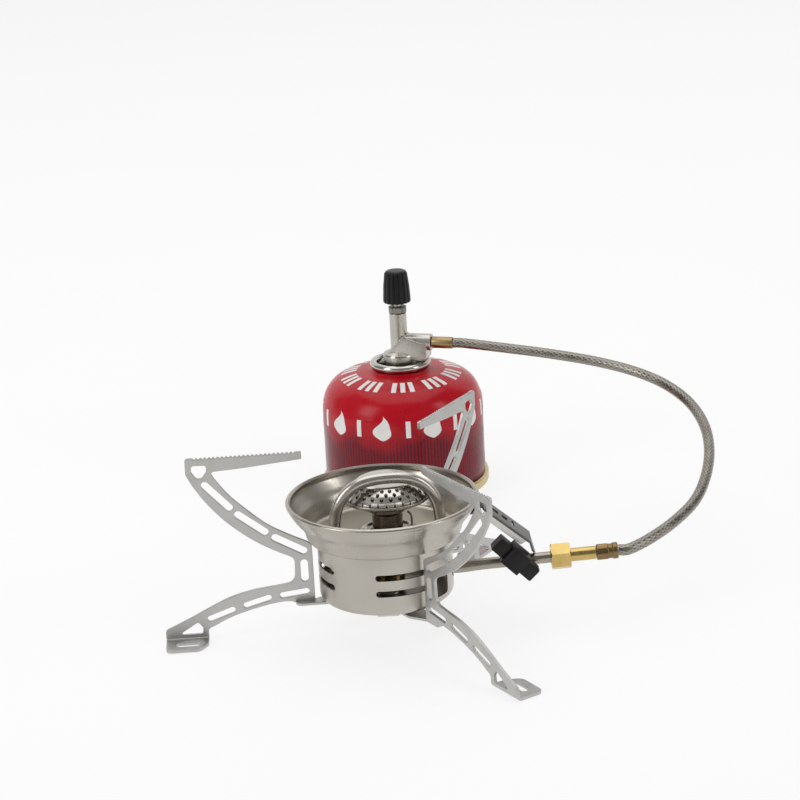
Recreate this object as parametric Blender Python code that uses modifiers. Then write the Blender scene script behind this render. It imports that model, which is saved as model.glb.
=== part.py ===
"""A remote-canister stove: burner on three folding legs, gas hose, valve and threaded gas canister.

Sizes are in millimetres and MM turns them into Blender's metres. +Z is up and the ground is at zero.
The burner's axis is the layout's centre line. Angles are in degrees, anticlockwise from +X seen from above.
"""

import math

import bmesh
import bpy
from mathutils import Matrix, Vector

MM = 0.001
GAP = 0.3
ROUND = 32

# Burner bowl and drum
DRUM_RADIUS = 31.0
SHOULDER_RADIUS = DRUM_RADIUS + 4.8
RIM_RADIUS = DRUM_RADIUS + 13.3
RIM_TOP = 65.3
BOWL_FLOOR = 47.5
BOWL_SHEET = 0.7
DRUM_BOTTOM = 18.0
DRUM_SHEET = 0.8
DRUM_CORNER = 3.0
SLOT_HEIGHT = 2.9
SLOT_LEVELS = (DRUM_BOTTOM + 11.2, DRUM_BOTTOM + 18.9)
SLOT_HALF_ANGLE = 38.0
WINDOW_FROM = 313.0
WINDOW_TO = 334.0
WINDOW_LOW = DRUM_BOTTOM + 4.0
WINDOW_HIGH = DRUM_BOTTOM + 13.5

# Burner head
HEAD_X = 2.0
LIP_TOP = BOWL_FLOOR + 18.7
STEM_RADIUS = 7.0
STEM_WALL = 0.8
COLLAR_RADIUS = STEM_RADIUS + 2.3
DOME_TOP = LIP_TOP + 7.4
HOLE_RINGS = ((0.72, 20), (0.83, 24))
PORT_RADIUS = 0.7
NOTCHES = 16
CERAMIC_RADIUS = 1.5

# Gas way through the burner
TUBE_RADIUS = 2.65
PIPE_RISE = 3.0
PIPE_END = RIM_RADIUS + 35.1
PIPE_HEIGHT = DRUM_BOTTOM + 8.5
HOOP_CENTRE = (2.0, -11.2)
HOOP_ANGLE = 7.5
HOOP_HALF_SPAN = DRUM_RADIUS - TUBE_RADIUS - 4.05
HOOP_TOP = DOME_TOP + 3.9
HEAD_RADIUS = 0.78 * HOOP_HALF_SPAN - TUBE_RADIUS + 4.3
HOOP_SQUARENESS = 0.78
HOOP_SPRING_LINE = BOWL_FLOOR + 4.5
HOOP_STEPS = 12
MIXING_TUBE_RADIUS = STEM_RADIUS - STEM_WALL - GAP
MIXING_TUBE_WALL = 0.8
JET_BLOCK_NECK = MIXING_TUBE_RADIUS - MIXING_TUBE_WALL - 0.4
JET_BLOCK_RADIUS = JET_BLOCK_NECK + 1.9
JET_BLOCK_BOTTOM = 20.9
JET_BLOCK_SHOULDER = JET_BLOCK_BOTTOM + 2 * TUBE_RADIUS + 1.4
JET_BLOCK_TOP = JET_BLOCK_SHOULDER + 3.4
JET_RADIUS = 2.2
JET_BORE = 0.5

# Legs
LEG_AZIMUTHS = {"left": 182.4, "front": 301.9, "rear": 58.4}
LEG_SHEET = 1.5
SPINE_RADIUS = DRUM_RADIUS + 2.4
ELBOW_RADIUS = 88.3
ARM_TIP_RADIUS = 35.5
POT_HEIGHT = 89.2
FOOT_RADIUS = 103.4
FOOT_INNER_RADIUS = 83.5
FOOT_WIDTH = 13.5
TOOTH_PITCH = 1.95
TOOTH_DEPTH = 0.8
TEETH = 24
LEG_SLOT_WIDTH = 3.5
EYE_SHEET = 1.2
JOIN_OVERLAP = 0.2
ARM_HALF_WIDTH = 5.0
PIVOT_RADIUS = 5.0
PIVOT_BORE = 2.5
EYE_RADIUS = PIVOT_RADIUS + 4.0
WASHER_SHEET = 0.7
EYE_ORDER = ("left", "front", "rear")

# Hose and its fittings
NUT_FLATS = 11.0
NUT_LENGTH = 9.0
NUT_START = PIPE_END - 3.2
TAIL_RADIUS = 3.1
FITTING_BORE = 1.2
TAIL_LENGTH = 17.0
CRIMP_RADIUS = 3.8
CRIMP_LENGTH = 10.0
HOSE_RADIUS = 2.6

# Igniter
IGNITER_HALF = 5.0
IGNITER_Y = -(TUBE_RADIUS + IGNITER_HALF + 0.95)
IGNITER_TILT = (0, 135, 0)
IGNITER_FACE = (RIM_RADIUS + 18.6, RIM_TOP - 34.3)
IGNITER_BODY_LENGTH = 17.0
IGNITER_POCKET = 9.0
BUTTON_HALF = IGNITER_HALF - 1.4
BUTTON_OUT = 7.0
BUTTON_TRAVEL = 3.0
BUTTON_HEAD = BUTTON_TRAVEL + 0.4
SPRING_WIRE = 0.25
SPRING_RADIUS = 2.4
SPRING_TURNS = 3
BRACKET_SHEET = 1.0
BRACKET_TOP = (RIM_RADIUS + 1.3, RIM_TOP - 6.7)
BRACKET_BEND = (BRACKET_TOP[0] + 21.0, BRACKET_TOP[1] - 17.8)
BRACKET_HALF_WIDTH = 7.2
BRACKET_DROP = BRACKET_BEND[1] - PIPE_HEIGHT - 0.052 * BRACKET_BEND[0] - TUBE_RADIUS + 3.3

# Canister
CANISTER_X = 11.9
CANISTER_Y = 197.9
CANISTER_RADIUS = 43.2
CHIME_RADIUS = CANISTER_RADIUS + 1.8
CHIME_HEIGHT = 5.5
SHOULDER_HEIGHT = 43.5
CANISTER_HEIGHT = 64.9
CANISTER_SHEET = 0.5
CURL_RADIUS = 14.4
CURL_TUBE = 2.0
CURL_HEIGHT = CANISTER_HEIGHT + 2.4
CUP_SHEET = 0.6
BOSS_RADIUS = 5.5
BOSS_TOP = CANISTER_HEIGHT + 5.6
CUP_FLOOR = CANISTER_HEIGHT - 3.9

# Valve
VALVE_ANGLE = -17.0
VALVE_RADIUS = 4.6
VALVE_TOP = CANISTER_HEIGHT + 30.1
SOCKET_RADIUS = BOSS_RADIUS + 3.5
SOCKET_BOTTOM = CUP_FLOOR + 2.0
SOCKET_ROOF = BOSS_TOP + 2.0
PORT_HEIGHT = CANISTER_HEIGHT + 14.1
PORT_BODY_RADIUS = 4.5
PORT_REACH = 18.2
PORT_BORE = 1.5
GUSSET_WIDTH = 8.6
GUSSET_INSIDE = 10.4
GUSSET_REACH = 16.2
GUSSET_BOTTOM = CUP_FLOOR + 5.2
SLEEVE_RADIUS = 3.1
SLEEVE_LENGTH = 11.4
SPINDLE_RADIUS = 2.3
PIN_RADIUS = 1.2
GLAND_TOP = VALVE_TOP + 3.6
KNOB_BOTTOM = GLAND_TOP + 1.8
KNOB_TOP = KNOB_BOTTOM + 17.8
KNOB_RADIUS = 7.3
KNOB_TOP_RADIUS = 5.7

# The hose's route, chosen by hand, from the burner's crimp to the valve's sleeve.
HOSE_ROUTE = (
    (123, 7.5, 34),
    (136, 20, 37),
    (148, 36, 41),
    (156, 56, 46),
    (160.5, 77, 51.5),
    (161, 98, 57),
    (156.5, 119, 62),
    (146.5, 137, 66.5),
    (132, 151, 70),
    (113, 162, 73),
    (91, 171, 75.5),
    (66, 180.5, 77.5),
)

LOOSE_PARTS = ("hose", "hose_crimp")

STEEL = ((0.60, 0.59, 0.56), 0.32, 1.0)
LEG_STEEL = ((0.66, 0.67, 0.67), 0.45, 1.0)
DARK_STEEL = ((0.20, 0.19, 0.18), 0.40, 1.0)
BRASS = ((0.78, 0.62, 0.28), 0.35, 1.0)
BRONZE = ((0.42, 0.31, 0.14), 0.40, 1.0)
BLACK_PLASTIC = ((0.02, 0.02, 0.02), 0.45, 0.0)
RUBBER = ((0.03, 0.03, 0.03), 0.80, 0.0)
CERAMIC = ((0.90, 0.89, 0.85), 0.30, 0.0)
BRAID = ((0.45, 0.44, 0.42), 0.45, 1.0)
RED_PAINT = ((0.55, 0.02, 0.04), 0.25, 0.0)
GOLD_LACQUER = ((0.62, 0.50, 0.25), 0.30, 1.0)


def clear_scene():
    for old in list(bpy.data.objects):
        bpy.data.objects.remove(old, do_unlink=True)


def collection(name, shown):
    made = bpy.data.collections.new(name)
    bpy.context.scene.collection.children.link(made)
    made.hide_render = not shown
    return made


clear_scene()
PARTS = collection("canister_stove", True)
CUTTERS = collection("cutters", False)
ROOT = bpy.data.objects.new("stove_frame", None)
PARTS.objects.link(ROOT)


# ---- general helpers ----


def finish(obj, look, parent=ROOT):
    """Files an object as a part: its material, its parent and its shading."""
    colour, roughness, metallic = look
    material = bpy.data.materials.new(obj.name)
    material.use_nodes = True
    shader = material.node_tree.nodes["Principled BSDF"]
    shader.inputs["Base Color"].default_value = (*colour, 1.0)
    shader.inputs["Roughness"].default_value = roughness
    shader.inputs["Metallic"].default_value = metallic
    obj.data.materials.append(material)
    obj.parent = parent
    PARTS.objects.link(obj)
    if obj.type == "MESH":
        obj.data.shade_smooth()
        obj.data.set_sharp_from_angle(angle=math.radians(35))
    return obj


def tool(obj, owner):
    """Files an object as a cutter or a joined piece, in its owner's own frame."""
    CUTTERS.objects.link(obj)
    obj.parent = owner
    obj.hide_render = True
    obj.display_type = "WIRE"
    return obj


def boolean(owner, other, operation):
    tool(other, owner)
    change = owner.modifiers.new(other.name, "BOOLEAN")
    change.operation = operation
    change.object = other
    change.solver = "EXACT"


def cut(owner, other):
    boolean(owner, other, "DIFFERENCE")


def join(owner, other):
    boolean(owner, other, "UNION")


def turned(name, profile, steps=32, closed=False, at=(0, 0, 0), tilt=(0, 0, 0)):
    """A turned shape from (radius, height) points that run down its outer side."""
    mesh = bpy.data.meshes.new(name)
    points = [(radius * MM, 0, height * MM) for radius, height in profile]
    edges = [(i, i + 1) for i in range(len(points) - 1)]
    if closed:
        edges.append((len(points) - 1, 0))
    mesh.from_pydata(points, edges, [])
    obj = bpy.data.objects.new(name, mesh)
    screw = obj.modifiers.new("turn", "SCREW")
    screw.steps = steps
    screw.render_steps = steps
    screw.use_merge_vertices = not closed
    screw.merge_threshold = 1e-5
    obj.location = Vector(at) * MM
    obj.rotation_euler = [math.radians(angle) for angle in tilt]
    return obj


def ring(name, outer, inner, low, high, steps=24, **place):
    """A plain washer or sleeve."""
    profile = [(outer, high), (outer, low), (inner, low), (inner, high)]
    return turned(name, profile, steps, closed=True, **place)


def o_ring(name, radius, thickness, height, steps=16, sides=6, **place):
    profile = []
    for i in range(sides):
        angle = -2 * math.pi * i / sides
        profile.append((radius + thickness * math.cos(angle), height + thickness * math.sin(angle)))
    return turned(name, profile, steps, closed=True, **place)


def block(name, low, high):
    """A box between two corners."""
    shape = bmesh.new()
    bmesh.ops.create_cube(shape, size=1)
    size = [(b - a) * MM for a, b in zip(low, high)]
    centre = [(a + b) / 2 * MM for a, b in zip(low, high)]
    place = Matrix.Translation(centre) @ Matrix.Diagonal((*size, 1))
    bmesh.ops.transform(shape, matrix=place, verts=shape.verts)
    mesh = bpy.data.meshes.new(name)
    shape.to_mesh(mesh)
    shape.free()
    return bpy.data.objects.new(name, mesh)


def rounded(corners, steps=2):
    """The outline through (x, y, radius) corners, each rounded with an arc."""
    points = []
    count = len(corners)
    for i, (x, y, radius) in enumerate(corners):
        here = Vector((x, y))
        before = Vector(corners[i - 1][:2]) - here
        after = Vector(corners[(i + 1) % count][:2]) - here
        half = before.angle(after) / 2
        if radius <= 0 or half > math.radians(89.5):
            points.append((x, y))
            continue
        reach = min(radius / math.tan(half), 0.49 * before.length, 0.49 * after.length)
        radius = reach * math.tan(half)
        centre = here + (before.normalized() + after.normalized()).normalized() * (radius / math.sin(half))
        start = here + before.normalized() * reach - centre
        end = here + after.normalized() * reach - centre
        turn = start.angle_signed(end)
        for k in range(steps + 1):
            spoke = start.copy()
            spoke.rotate(Matrix.Rotation(-turn * k / steps, 2))
            points.append(tuple(centre + spoke))
    return points


def slot_outline(start, end, width, steps=2):
    """A slot with round ends, whose tips lie at start and end."""
    a = Vector(start)
    b = Vector(end)
    along = (b - a).normalized()
    side = Vector((-along.y, along.x)) * width / 2
    a += along * width / 2
    b -= along * width / 2
    points = []
    for centre, first in ((a, side), (b, -side)):
        for k in range(steps + 1):
            spoke = first.copy()
            spoke.rotate(Matrix.Rotation(math.pi * k / steps, 2))
            points.append(tuple(centre + spoke))
    return points


def circle_outline(radius, centre=(0, 0), sides=16):
    spokes = [2 * math.pi * i / sides for i in range(sides)]
    return [(centre[0] + radius * math.cos(a), centre[1] + radius * math.sin(a)) for a in spokes]


def plate(name, loops, thickness):
    """A flat outline with its holes as a mesh, centred on its own XY plane."""
    curve = bpy.data.curves.new(name + "_outline", "CURVE")
    curve.dimensions = "2D"
    curve.fill_mode = "BOTH"
    curve.extrude = thickness / 2 * MM
    for loop in loops:
        spline = curve.splines.new("POLY")
        spline.points.add(len(loop) - 1)
        for point, (x, y) in zip(spline.points, loop):
            point.co = (x * MM, y * MM, 0, 1)
        spline.use_cyclic_u = True
    guide = bpy.data.objects.new(name + "_outline", curve)
    bpy.context.scene.collection.objects.link(guide)
    graph = bpy.context.evaluated_depsgraph_get()
    mesh = bpy.data.meshes.new_from_object(guide.evaluated_get(graph))
    bpy.data.objects.remove(guide)
    shape = bmesh.new()
    shape.from_mesh(mesh)
    bmesh.ops.remove_doubles(shape, verts=shape.verts, dist=1e-6)
    bmesh.ops.recalc_face_normals(shape, faces=shape.faces)
    shape.to_mesh(mesh)
    shape.free()
    mesh.name = name
    return bpy.data.objects.new(name, mesh)


def stand_up(obj):
    """Turns a plate from the XY plane into the XZ plane."""
    obj.data.transform(Matrix.Rotation(math.radians(90), 4, "X"))
    return obj


def shift(obj, offset):
    obj.data.transform(Matrix.Translation(Vector(offset) * MM))
    return obj


def smooth(points, spacing):
    """Points along a smooth curve through the given ones, about spacing apart."""
    knots = [Vector(p) for p in points]
    ends = [2 * knots[0] - knots[1]] + knots + [2 * knots[-1] - knots[-2]]
    path = []
    for a, b, c, d in zip(ends, ends[1:], ends[2:], ends[3:]):
        pieces = max(1, round((c - b).length / spacing))
        for k in range(pieces):
            t = k / pieces
            square = (2 * a - 5 * b + 4 * c - d) * t**2
            cube = (3 * b - a - 3 * c + d) * t**3
            path.append((2 * b + (c - a) * t + square + cube) / 2)
    path.append(knots[-1])
    return path


def tube(name, path, radius, sides_setting=2):
    curve = bpy.data.curves.new(name, "CURVE")
    curve.dimensions = "3D"
    curve.bevel_depth = radius * MM
    curve.bevel_resolution = sides_setting
    curve.use_fill_caps = True
    spline = curve.splines.new("POLY")
    spline.points.add(len(path) - 1)
    for point, place in zip(spline.points, path):
        point.co = (*(Vector(place) * MM), 1)
    return bpy.data.objects.new(name, curve)


def polar(radius, angle, height=0.0):
    return (radius * math.cos(math.radians(angle)), radius * math.sin(math.radians(angle)), height)


def disc(name, radius, centre, sides, thickness):
    """A round cutter at (x, y, z), its axis upright."""
    x, y, z = centre
    return shift(plate(name, [circle_outline(radius, sides=sides)], thickness), (x, y, z))


def turn_to_x(obj):
    """Turns an upright plate's axis to X."""
    obj.data.transform(Matrix.Rotation(math.radians(90), 4, "Y"))
    return obj


def wall_cutter(name, from_angle, to_angle, low, high):
    """A wedge that cuts the drum's wall between two angles and two heights."""
    steps = 4
    angles = [math.radians(from_angle + (to_angle - from_angle) * k / steps) for k in range(steps + 1)]
    near = DRUM_RADIUS - 3
    far = DRUM_RADIUS + 3
    outline = [(far * math.cos(a), far * math.sin(a)) for a in angles]
    outline += [(near * math.cos(a), near * math.sin(a)) for a in reversed(angles)]
    obj = plate(name, [outline], high - low)
    return shift(obj, (0, 0, (low + high) / 2))


def slot_end(name, angle, height):
    """The round end of an air slot."""
    obj = plate(name, [circle_outline(SLOT_HEIGHT / 2, sides=8)], 8)
    turn = Matrix.Rotation(math.radians(angle), 4, "Z") @ Matrix.Rotation(math.radians(90), 4, "Y")
    obj.data.transform(Matrix.Translation(Vector(polar(DRUM_RADIUS, angle, height)) * MM) @ turn)
    return obj


# ---- burner ----


def burner_bowl():
    sheet = BOWL_SHEET
    shoulder = SHOULDER_RADIUS
    floor = BOWL_FLOOR
    rim = RIM_RADIUS
    top = RIM_TOP
    slope = (rim - shoulder) / 8.5
    outer = [
        (rim - 1.2, top),
        (rim - 0.4, top - 0.25),
        (rim, top - 1.0),
        (rim - 0.2, top - 1.8),
        (rim - 0.8, top - 2.4),
        (rim - 1.0, top - 3.6),
        (shoulder + 4.9 * slope, top - 7.6),
        (shoulder + 2.5 * slope, top - 10.6),
        (shoulder + 0.8 * slope, top - 13.6),
        (shoulder, floor + 1.6),
        (shoulder - 0.9, floor),
        (shoulder - 2.6, floor - sheet),
    ]
    inner = [
        (STEM_RADIUS + 0.5, floor - sheet),
        (STEM_RADIUS + 0.5, floor),
        (shoulder - 3.0, floor),
        (shoulder - 1.4, floor + 0.8),
        (shoulder - sheet, floor + 2.2),
        (shoulder + 0.8 * slope - sheet, top - 13.4),
        (shoulder + 2.5 * slope - sheet, top - 10.2),
        (shoulder + 4.9 * slope - sheet, top - 7.2),
        (rim - 1.7, top - 3.4),
        (rim - 1.8, top - 0.6),
    ]
    bowl = turned("burner_bowl", outer + inner, ROUND, closed=True)
    through = 6
    cut(bowl, disc("cut_stem_way", STEM_RADIUS + 2 * GAP, (HEAD_X, 0, floor), 24, through))
    for side, name in ((1, "right"), (-1, "left")):
        x, y = hoop_foot(side)
        cut(bowl, disc("cut_hoop_" + name, TUBE_RADIUS + 0.5, (x, y, floor), 12, through))
    x, y = electrode_place()
    cut(bowl, disc("cut_electrode", CERAMIC_RADIUS + 0.5, (x, y, floor), 12, through))
    finish(bowl, STEEL)


def burner_drum():
    sheet = DRUM_SHEET
    top = BOWL_FLOOR - BOWL_SHEET - GAP
    corner = DRUM_CORNER
    outer = [(DRUM_RADIUS, top), (DRUM_RADIUS, DRUM_BOTTOM + corner)]
    outer += [
        (DRUM_RADIUS - corner * 0.3, DRUM_BOTTOM + corner * 0.3),
        (DRUM_RADIUS - corner, DRUM_BOTTOM),
        (PIVOT_RADIUS + GAP, DRUM_BOTTOM),
    ]
    inner = [
        (PIVOT_RADIUS + GAP, DRUM_BOTTOM + sheet),
        (DRUM_RADIUS - corner, DRUM_BOTTOM + sheet),
        (DRUM_RADIUS - sheet - (corner - sheet) * 0.3, DRUM_BOTTOM + sheet + (corner - sheet) * 0.3),
        (DRUM_RADIUS - sheet, DRUM_BOTTOM + corner),
        (DRUM_RADIUS - sheet, top),
    ]
    drum = turned("burner_drum", outer + inner, ROUND, closed=True)
    half = SLOT_HEIGHT / 2
    spans = {
        "left": (LEG_AZIMUTHS["left"] - SLOT_HALF_ANGLE, LEG_AZIMUTHS["left"] + SLOT_HALF_ANGLE - 2),
        "front": (LEG_AZIMUTHS["front"] - SLOT_HALF_ANGLE, LEG_AZIMUTHS["front"]),
        "rear": (LEG_AZIMUTHS["rear"] - 20, LEG_AZIMUTHS["rear"] + SLOT_HALF_ANGLE),
    }
    for name, (start, end) in spans.items():
        for level in SLOT_LEVELS:
            tag = f"{name}_{level:.0f}"
            cut(drum, wall_cutter("cut_slot_" + tag, start, end, level - half, level + half))
            cut(drum, slot_end("cut_slot_start_" + tag, start, level))
            cut(drum, slot_end("cut_slot_end_" + tag, end, level))
    cut(drum, wall_cutter("cut_window", WINDOW_FROM, WINDOW_TO, WINDOW_LOW, WINDOW_HIGH))
    way = turn_to_x(plate("cut_pipe_way", [circle_outline(TUBE_RADIUS + 1.8, sides=14)], 10))
    cut(drum, shift(way, (DRUM_RADIUS, -2.4, pipe_height(DRUM_RADIUS) + 1.2)))
    finish(drum, STEEL)


def burner_head():
    lip = HEAD_RADIUS
    stem = STEM_RADIUS
    collar = COLLAR_RADIUS
    seat = lip - 0.8
    outer = [
        (lip, LIP_TOP),
        (lip, LIP_TOP - 1.0),
        (lip - 1.2, LIP_TOP - 2.0),
        (collar + 2.7, LIP_TOP - 3.8),
        (collar, LIP_TOP - 5.0),
        (collar, LIP_TOP - 7.3),
        (stem + 0.6, LIP_TOP - 8.0),
        (stem, LIP_TOP - 9.2),
        (stem, BOWL_FLOOR - 6.5),
    ]
    inner = [
        (stem - STEM_WALL, BOWL_FLOOR - 6.5),
        (stem - STEM_WALL, LIP_TOP - 8.6),
        (collar - 0.9, LIP_TOP - 4.4),
        (collar + 2.7, LIP_TOP - 3.0),
        (seat - 1.2, LIP_TOP - 1.2),
        (seat, LIP_TOP - 0.6),
        (seat, LIP_TOP),
    ]
    finish(turned("burner_cup", outer + inner, 26, closed=True, at=(HEAD_X, 0, 0)), DARK_STEEL)

    edge = seat - GAP
    drop = DOME_TOP - LIP_TOP
    dome = [
        (0, DOME_TOP),
        (edge * 0.62, DOME_TOP - 0.04 * drop),
        (edge * 0.68, DOME_TOP - 0.12 * drop),
        (edge * 0.84, DOME_TOP - 0.45 * drop),
        (edge * 0.95, DOME_TOP - 0.77 * drop),
        (edge, LIP_TOP + 0.8),
        (edge, LIP_TOP),
        (edge - 0.9, LIP_TOP),
        (edge * 0.81, DOME_TOP - 0.55 * drop),
        (edge * 0.655, DOME_TOP - 0.12 * drop - 0.8),
        (edge * 0.6, DOME_TOP - 0.04 * drop - 0.8),
        (0, DOME_TOP - 0.8),
    ]
    spreader = turned("flame_spreader", dome, 26, at=(HEAD_X, 0, 0))
    for row, (share, count) in enumerate(HOLE_RINGS):
        loops = []
        for i in range(count):
            x, y, _ = polar(share * lip, 360 * (i + 0.5 * (row % 2)) / count)
            loops.append(circle_outline(PORT_RADIUS, (x, y), sides=5))
        cut(spreader, shift(plate(f"cut_ports_{row}", loops, 12), (0, 0, DOME_TOP - 4)))
    loops = []
    for i in range(NOTCHES):
        turn = Matrix.Rotation(-2 * math.pi * i / NOTCHES, 2)
        near = edge - 1.0
        far = edge + 1.0
        notch = ((near, -0.45), (far, -0.45), (far, 0.45), (near, 0.45))
        loops.append([tuple(turn @ Vector(corner)) for corner in notch])
    cut(spreader, shift(plate("cut_notches", loops, 12), (0, 0, LIP_TOP)))
    finish(spreader, STEEL)


def mixing_tube():
    low = JET_BLOCK_SHOULDER + GAP
    high = BOWL_FLOOR - 1.5
    inner = MIXING_TUBE_RADIUS - MIXING_TUBE_WALL
    pipe = ring("mixing_tube", MIXING_TUBE_RADIUS, inner, low, high, 24, at=(HEAD_X, 0, 0))
    reach = MIXING_TUBE_RADIUS + 3
    cut(pipe, block("cut_air_ways", (-reach, -2.5, JET_BLOCK_TOP + 1), (reach, 2.5, JET_BLOCK_TOP + 8)))
    finish(pipe, STEEL)


def jet_and_block():
    hole = TUBE_RADIUS + GAP
    profile = [
        (JET_RADIUS + GAP, JET_BLOCK_TOP),
        (JET_BLOCK_NECK, JET_BLOCK_TOP),
        (JET_BLOCK_NECK, JET_BLOCK_SHOULDER),
        (JET_BLOCK_RADIUS, JET_BLOCK_SHOULDER),
        (JET_BLOCK_RADIUS, JET_BLOCK_BOTTOM),
        (2 * JET_BORE, JET_BLOCK_BOTTOM),
        (2 * JET_BORE, JET_BLOCK_SHOULDER),
        (JET_RADIUS + GAP, JET_BLOCK_SHOULDER),
    ]
    body = turned("jet_block", profile, 28, closed=True, at=(HEAD_X, 0, 0))
    way = turn_to_x(plate("cut_gas_inlet", [circle_outline(hole, sides=12)], JET_BLOCK_RADIUS))
    cut(body, shift(way, (-JET_BLOCK_RADIUS, 0, jet_inlet_height())))
    finish(body, BRASS)

    shank = JET_BLOCK_SHOULDER + 0.6
    head = JET_BLOCK_TOP + GAP
    profile = [
        (JET_BORE, head + 2.2),
        (JET_RADIUS + 0.2, head + 2.2),
        (JET_RADIUS + 1.2, head + 1.6),
        (JET_RADIUS + 1.2, head),
        (JET_RADIUS, head),
        (JET_RADIUS, shank),
        (JET_BORE, shank),
    ]
    finish(turned("jet", profile, 12, closed=True, at=(HEAD_X, 0, 0)), BRASS)


def jet_inlet_height():
    return (JET_BLOCK_BOTTOM + JET_BLOCK_SHOULDER) / 2


def pipe_height(x):
    """The gas pipe's centre height at a distance out from the burner's axis."""
    return PIPE_HEIGHT + x * math.tan(math.radians(PIPE_RISE))


def hoop_foot(side):
    x, y, _ = polar(HOOP_HALF_SPAN * side, HOOP_ANGLE)
    return HOOP_CENTRE[0] + x, HOOP_CENTRE[1] + y


def electrode_place():
    return HEAD_X + STEM_RADIUS + CERAMIC_RADIUS + 2.5, -6.5


def generator_tube():
    """One tube: in from the hose nut, up, over the flame in a hoop, down, and back to the jet.

    The hoop's square shoulders come from a superellipse, whose exponent is HOOP_SQUARENESS.
    """
    right = hoop_foot(1)
    left = hoop_foot(-1)
    rise = HOOP_TOP - HOOP_SPRING_LINE
    hoop = []
    for k in range(HOOP_STEPS + 1):
        angle = math.pi * k / HOOP_STEPS
        across = HOOP_HALF_SPAN * math.copysign(abs(math.cos(angle)) ** HOOP_SQUARENESS, math.cos(angle))
        x, y, _ = polar(across, HOOP_ANGLE)
        height = HOOP_SPRING_LINE + rise * math.sin(angle) ** HOOP_SQUARENESS
        hoop.append((HOOP_CENTRE[0] + x, HOOP_CENTRE[1] + y, height))
    wall_height = pipe_height(DRUM_RADIUS)
    inlet = jet_inlet_height()
    points = [
        (PIPE_END, 0, pipe_height(PIPE_END)),
        (60, 0, pipe_height(60)),
        (45, 0, pipe_height(45)),
        (DRUM_RADIUS + 4, -0.4, wall_height),
        (DRUM_RADIUS - 0.6, -1.4, wall_height + 0.5),
        (right[0] + 1.0, right[1] + 3.4, wall_height + 3.2),
        (right[0], right[1] + 0.8, wall_height + 7.4),
        (*right, BOWL_FLOOR - 6),
    ]
    points += hoop
    points += [
        (*left, BOWL_FLOOR - 6),
        (left[0], left[1], inlet + 7),
        (left[0] + 3, left[1] + 3, inlet + 1.6),
        (left[0] + 9, -2.5, inlet),
        (HEAD_X - JET_BLOCK_RADIUS - 3, 0, inlet),
        (HEAD_X - JET_BLOCK_RADIUS + 2.4, 0, inlet),
    ]
    finish(tube("generator_tube", smooth(points, 5.0), TUBE_RADIUS), STEEL)


def igniter_electrode():
    x, y = electrode_place()
    foot = BOWL_FLOOR - 5
    top = BOWL_FLOOR + 5
    radius = CERAMIC_RADIUS
    ceramic = [(0, top), (radius - 0.3, top), (radius, top - 0.5), (radius, foot), (0, foot)]
    finish(turned("electrode_ceramic", ceramic, 14, at=(x, y, 0)), CERAMIC)
    reach = Vector((HEAD_X - x, -y)).normalized()
    path = [
        (x, y, top + GAP),
        (x, y, top + 3.5),
        (x + reach.x * 0.6, y + reach.y * 0.6, top + 5.4),
        (x + reach.x * 2.0, y + reach.y * 2.0, top + 6.4),
    ]
    finish(tube("electrode_wire", smooth(path, 1.2), 0.5, 1), STEEL)


# ---- legs ----


def eye_level(name):
    """The underside of a leg's eye. The three eyes are stacked under the drum."""
    first = DRUM_BOTTOM - GAP - WASHER_SHEET - GAP - EYE_SHEET
    return first - EYE_ORDER.index(name) * (EYE_SHEET + GAP)


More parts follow.
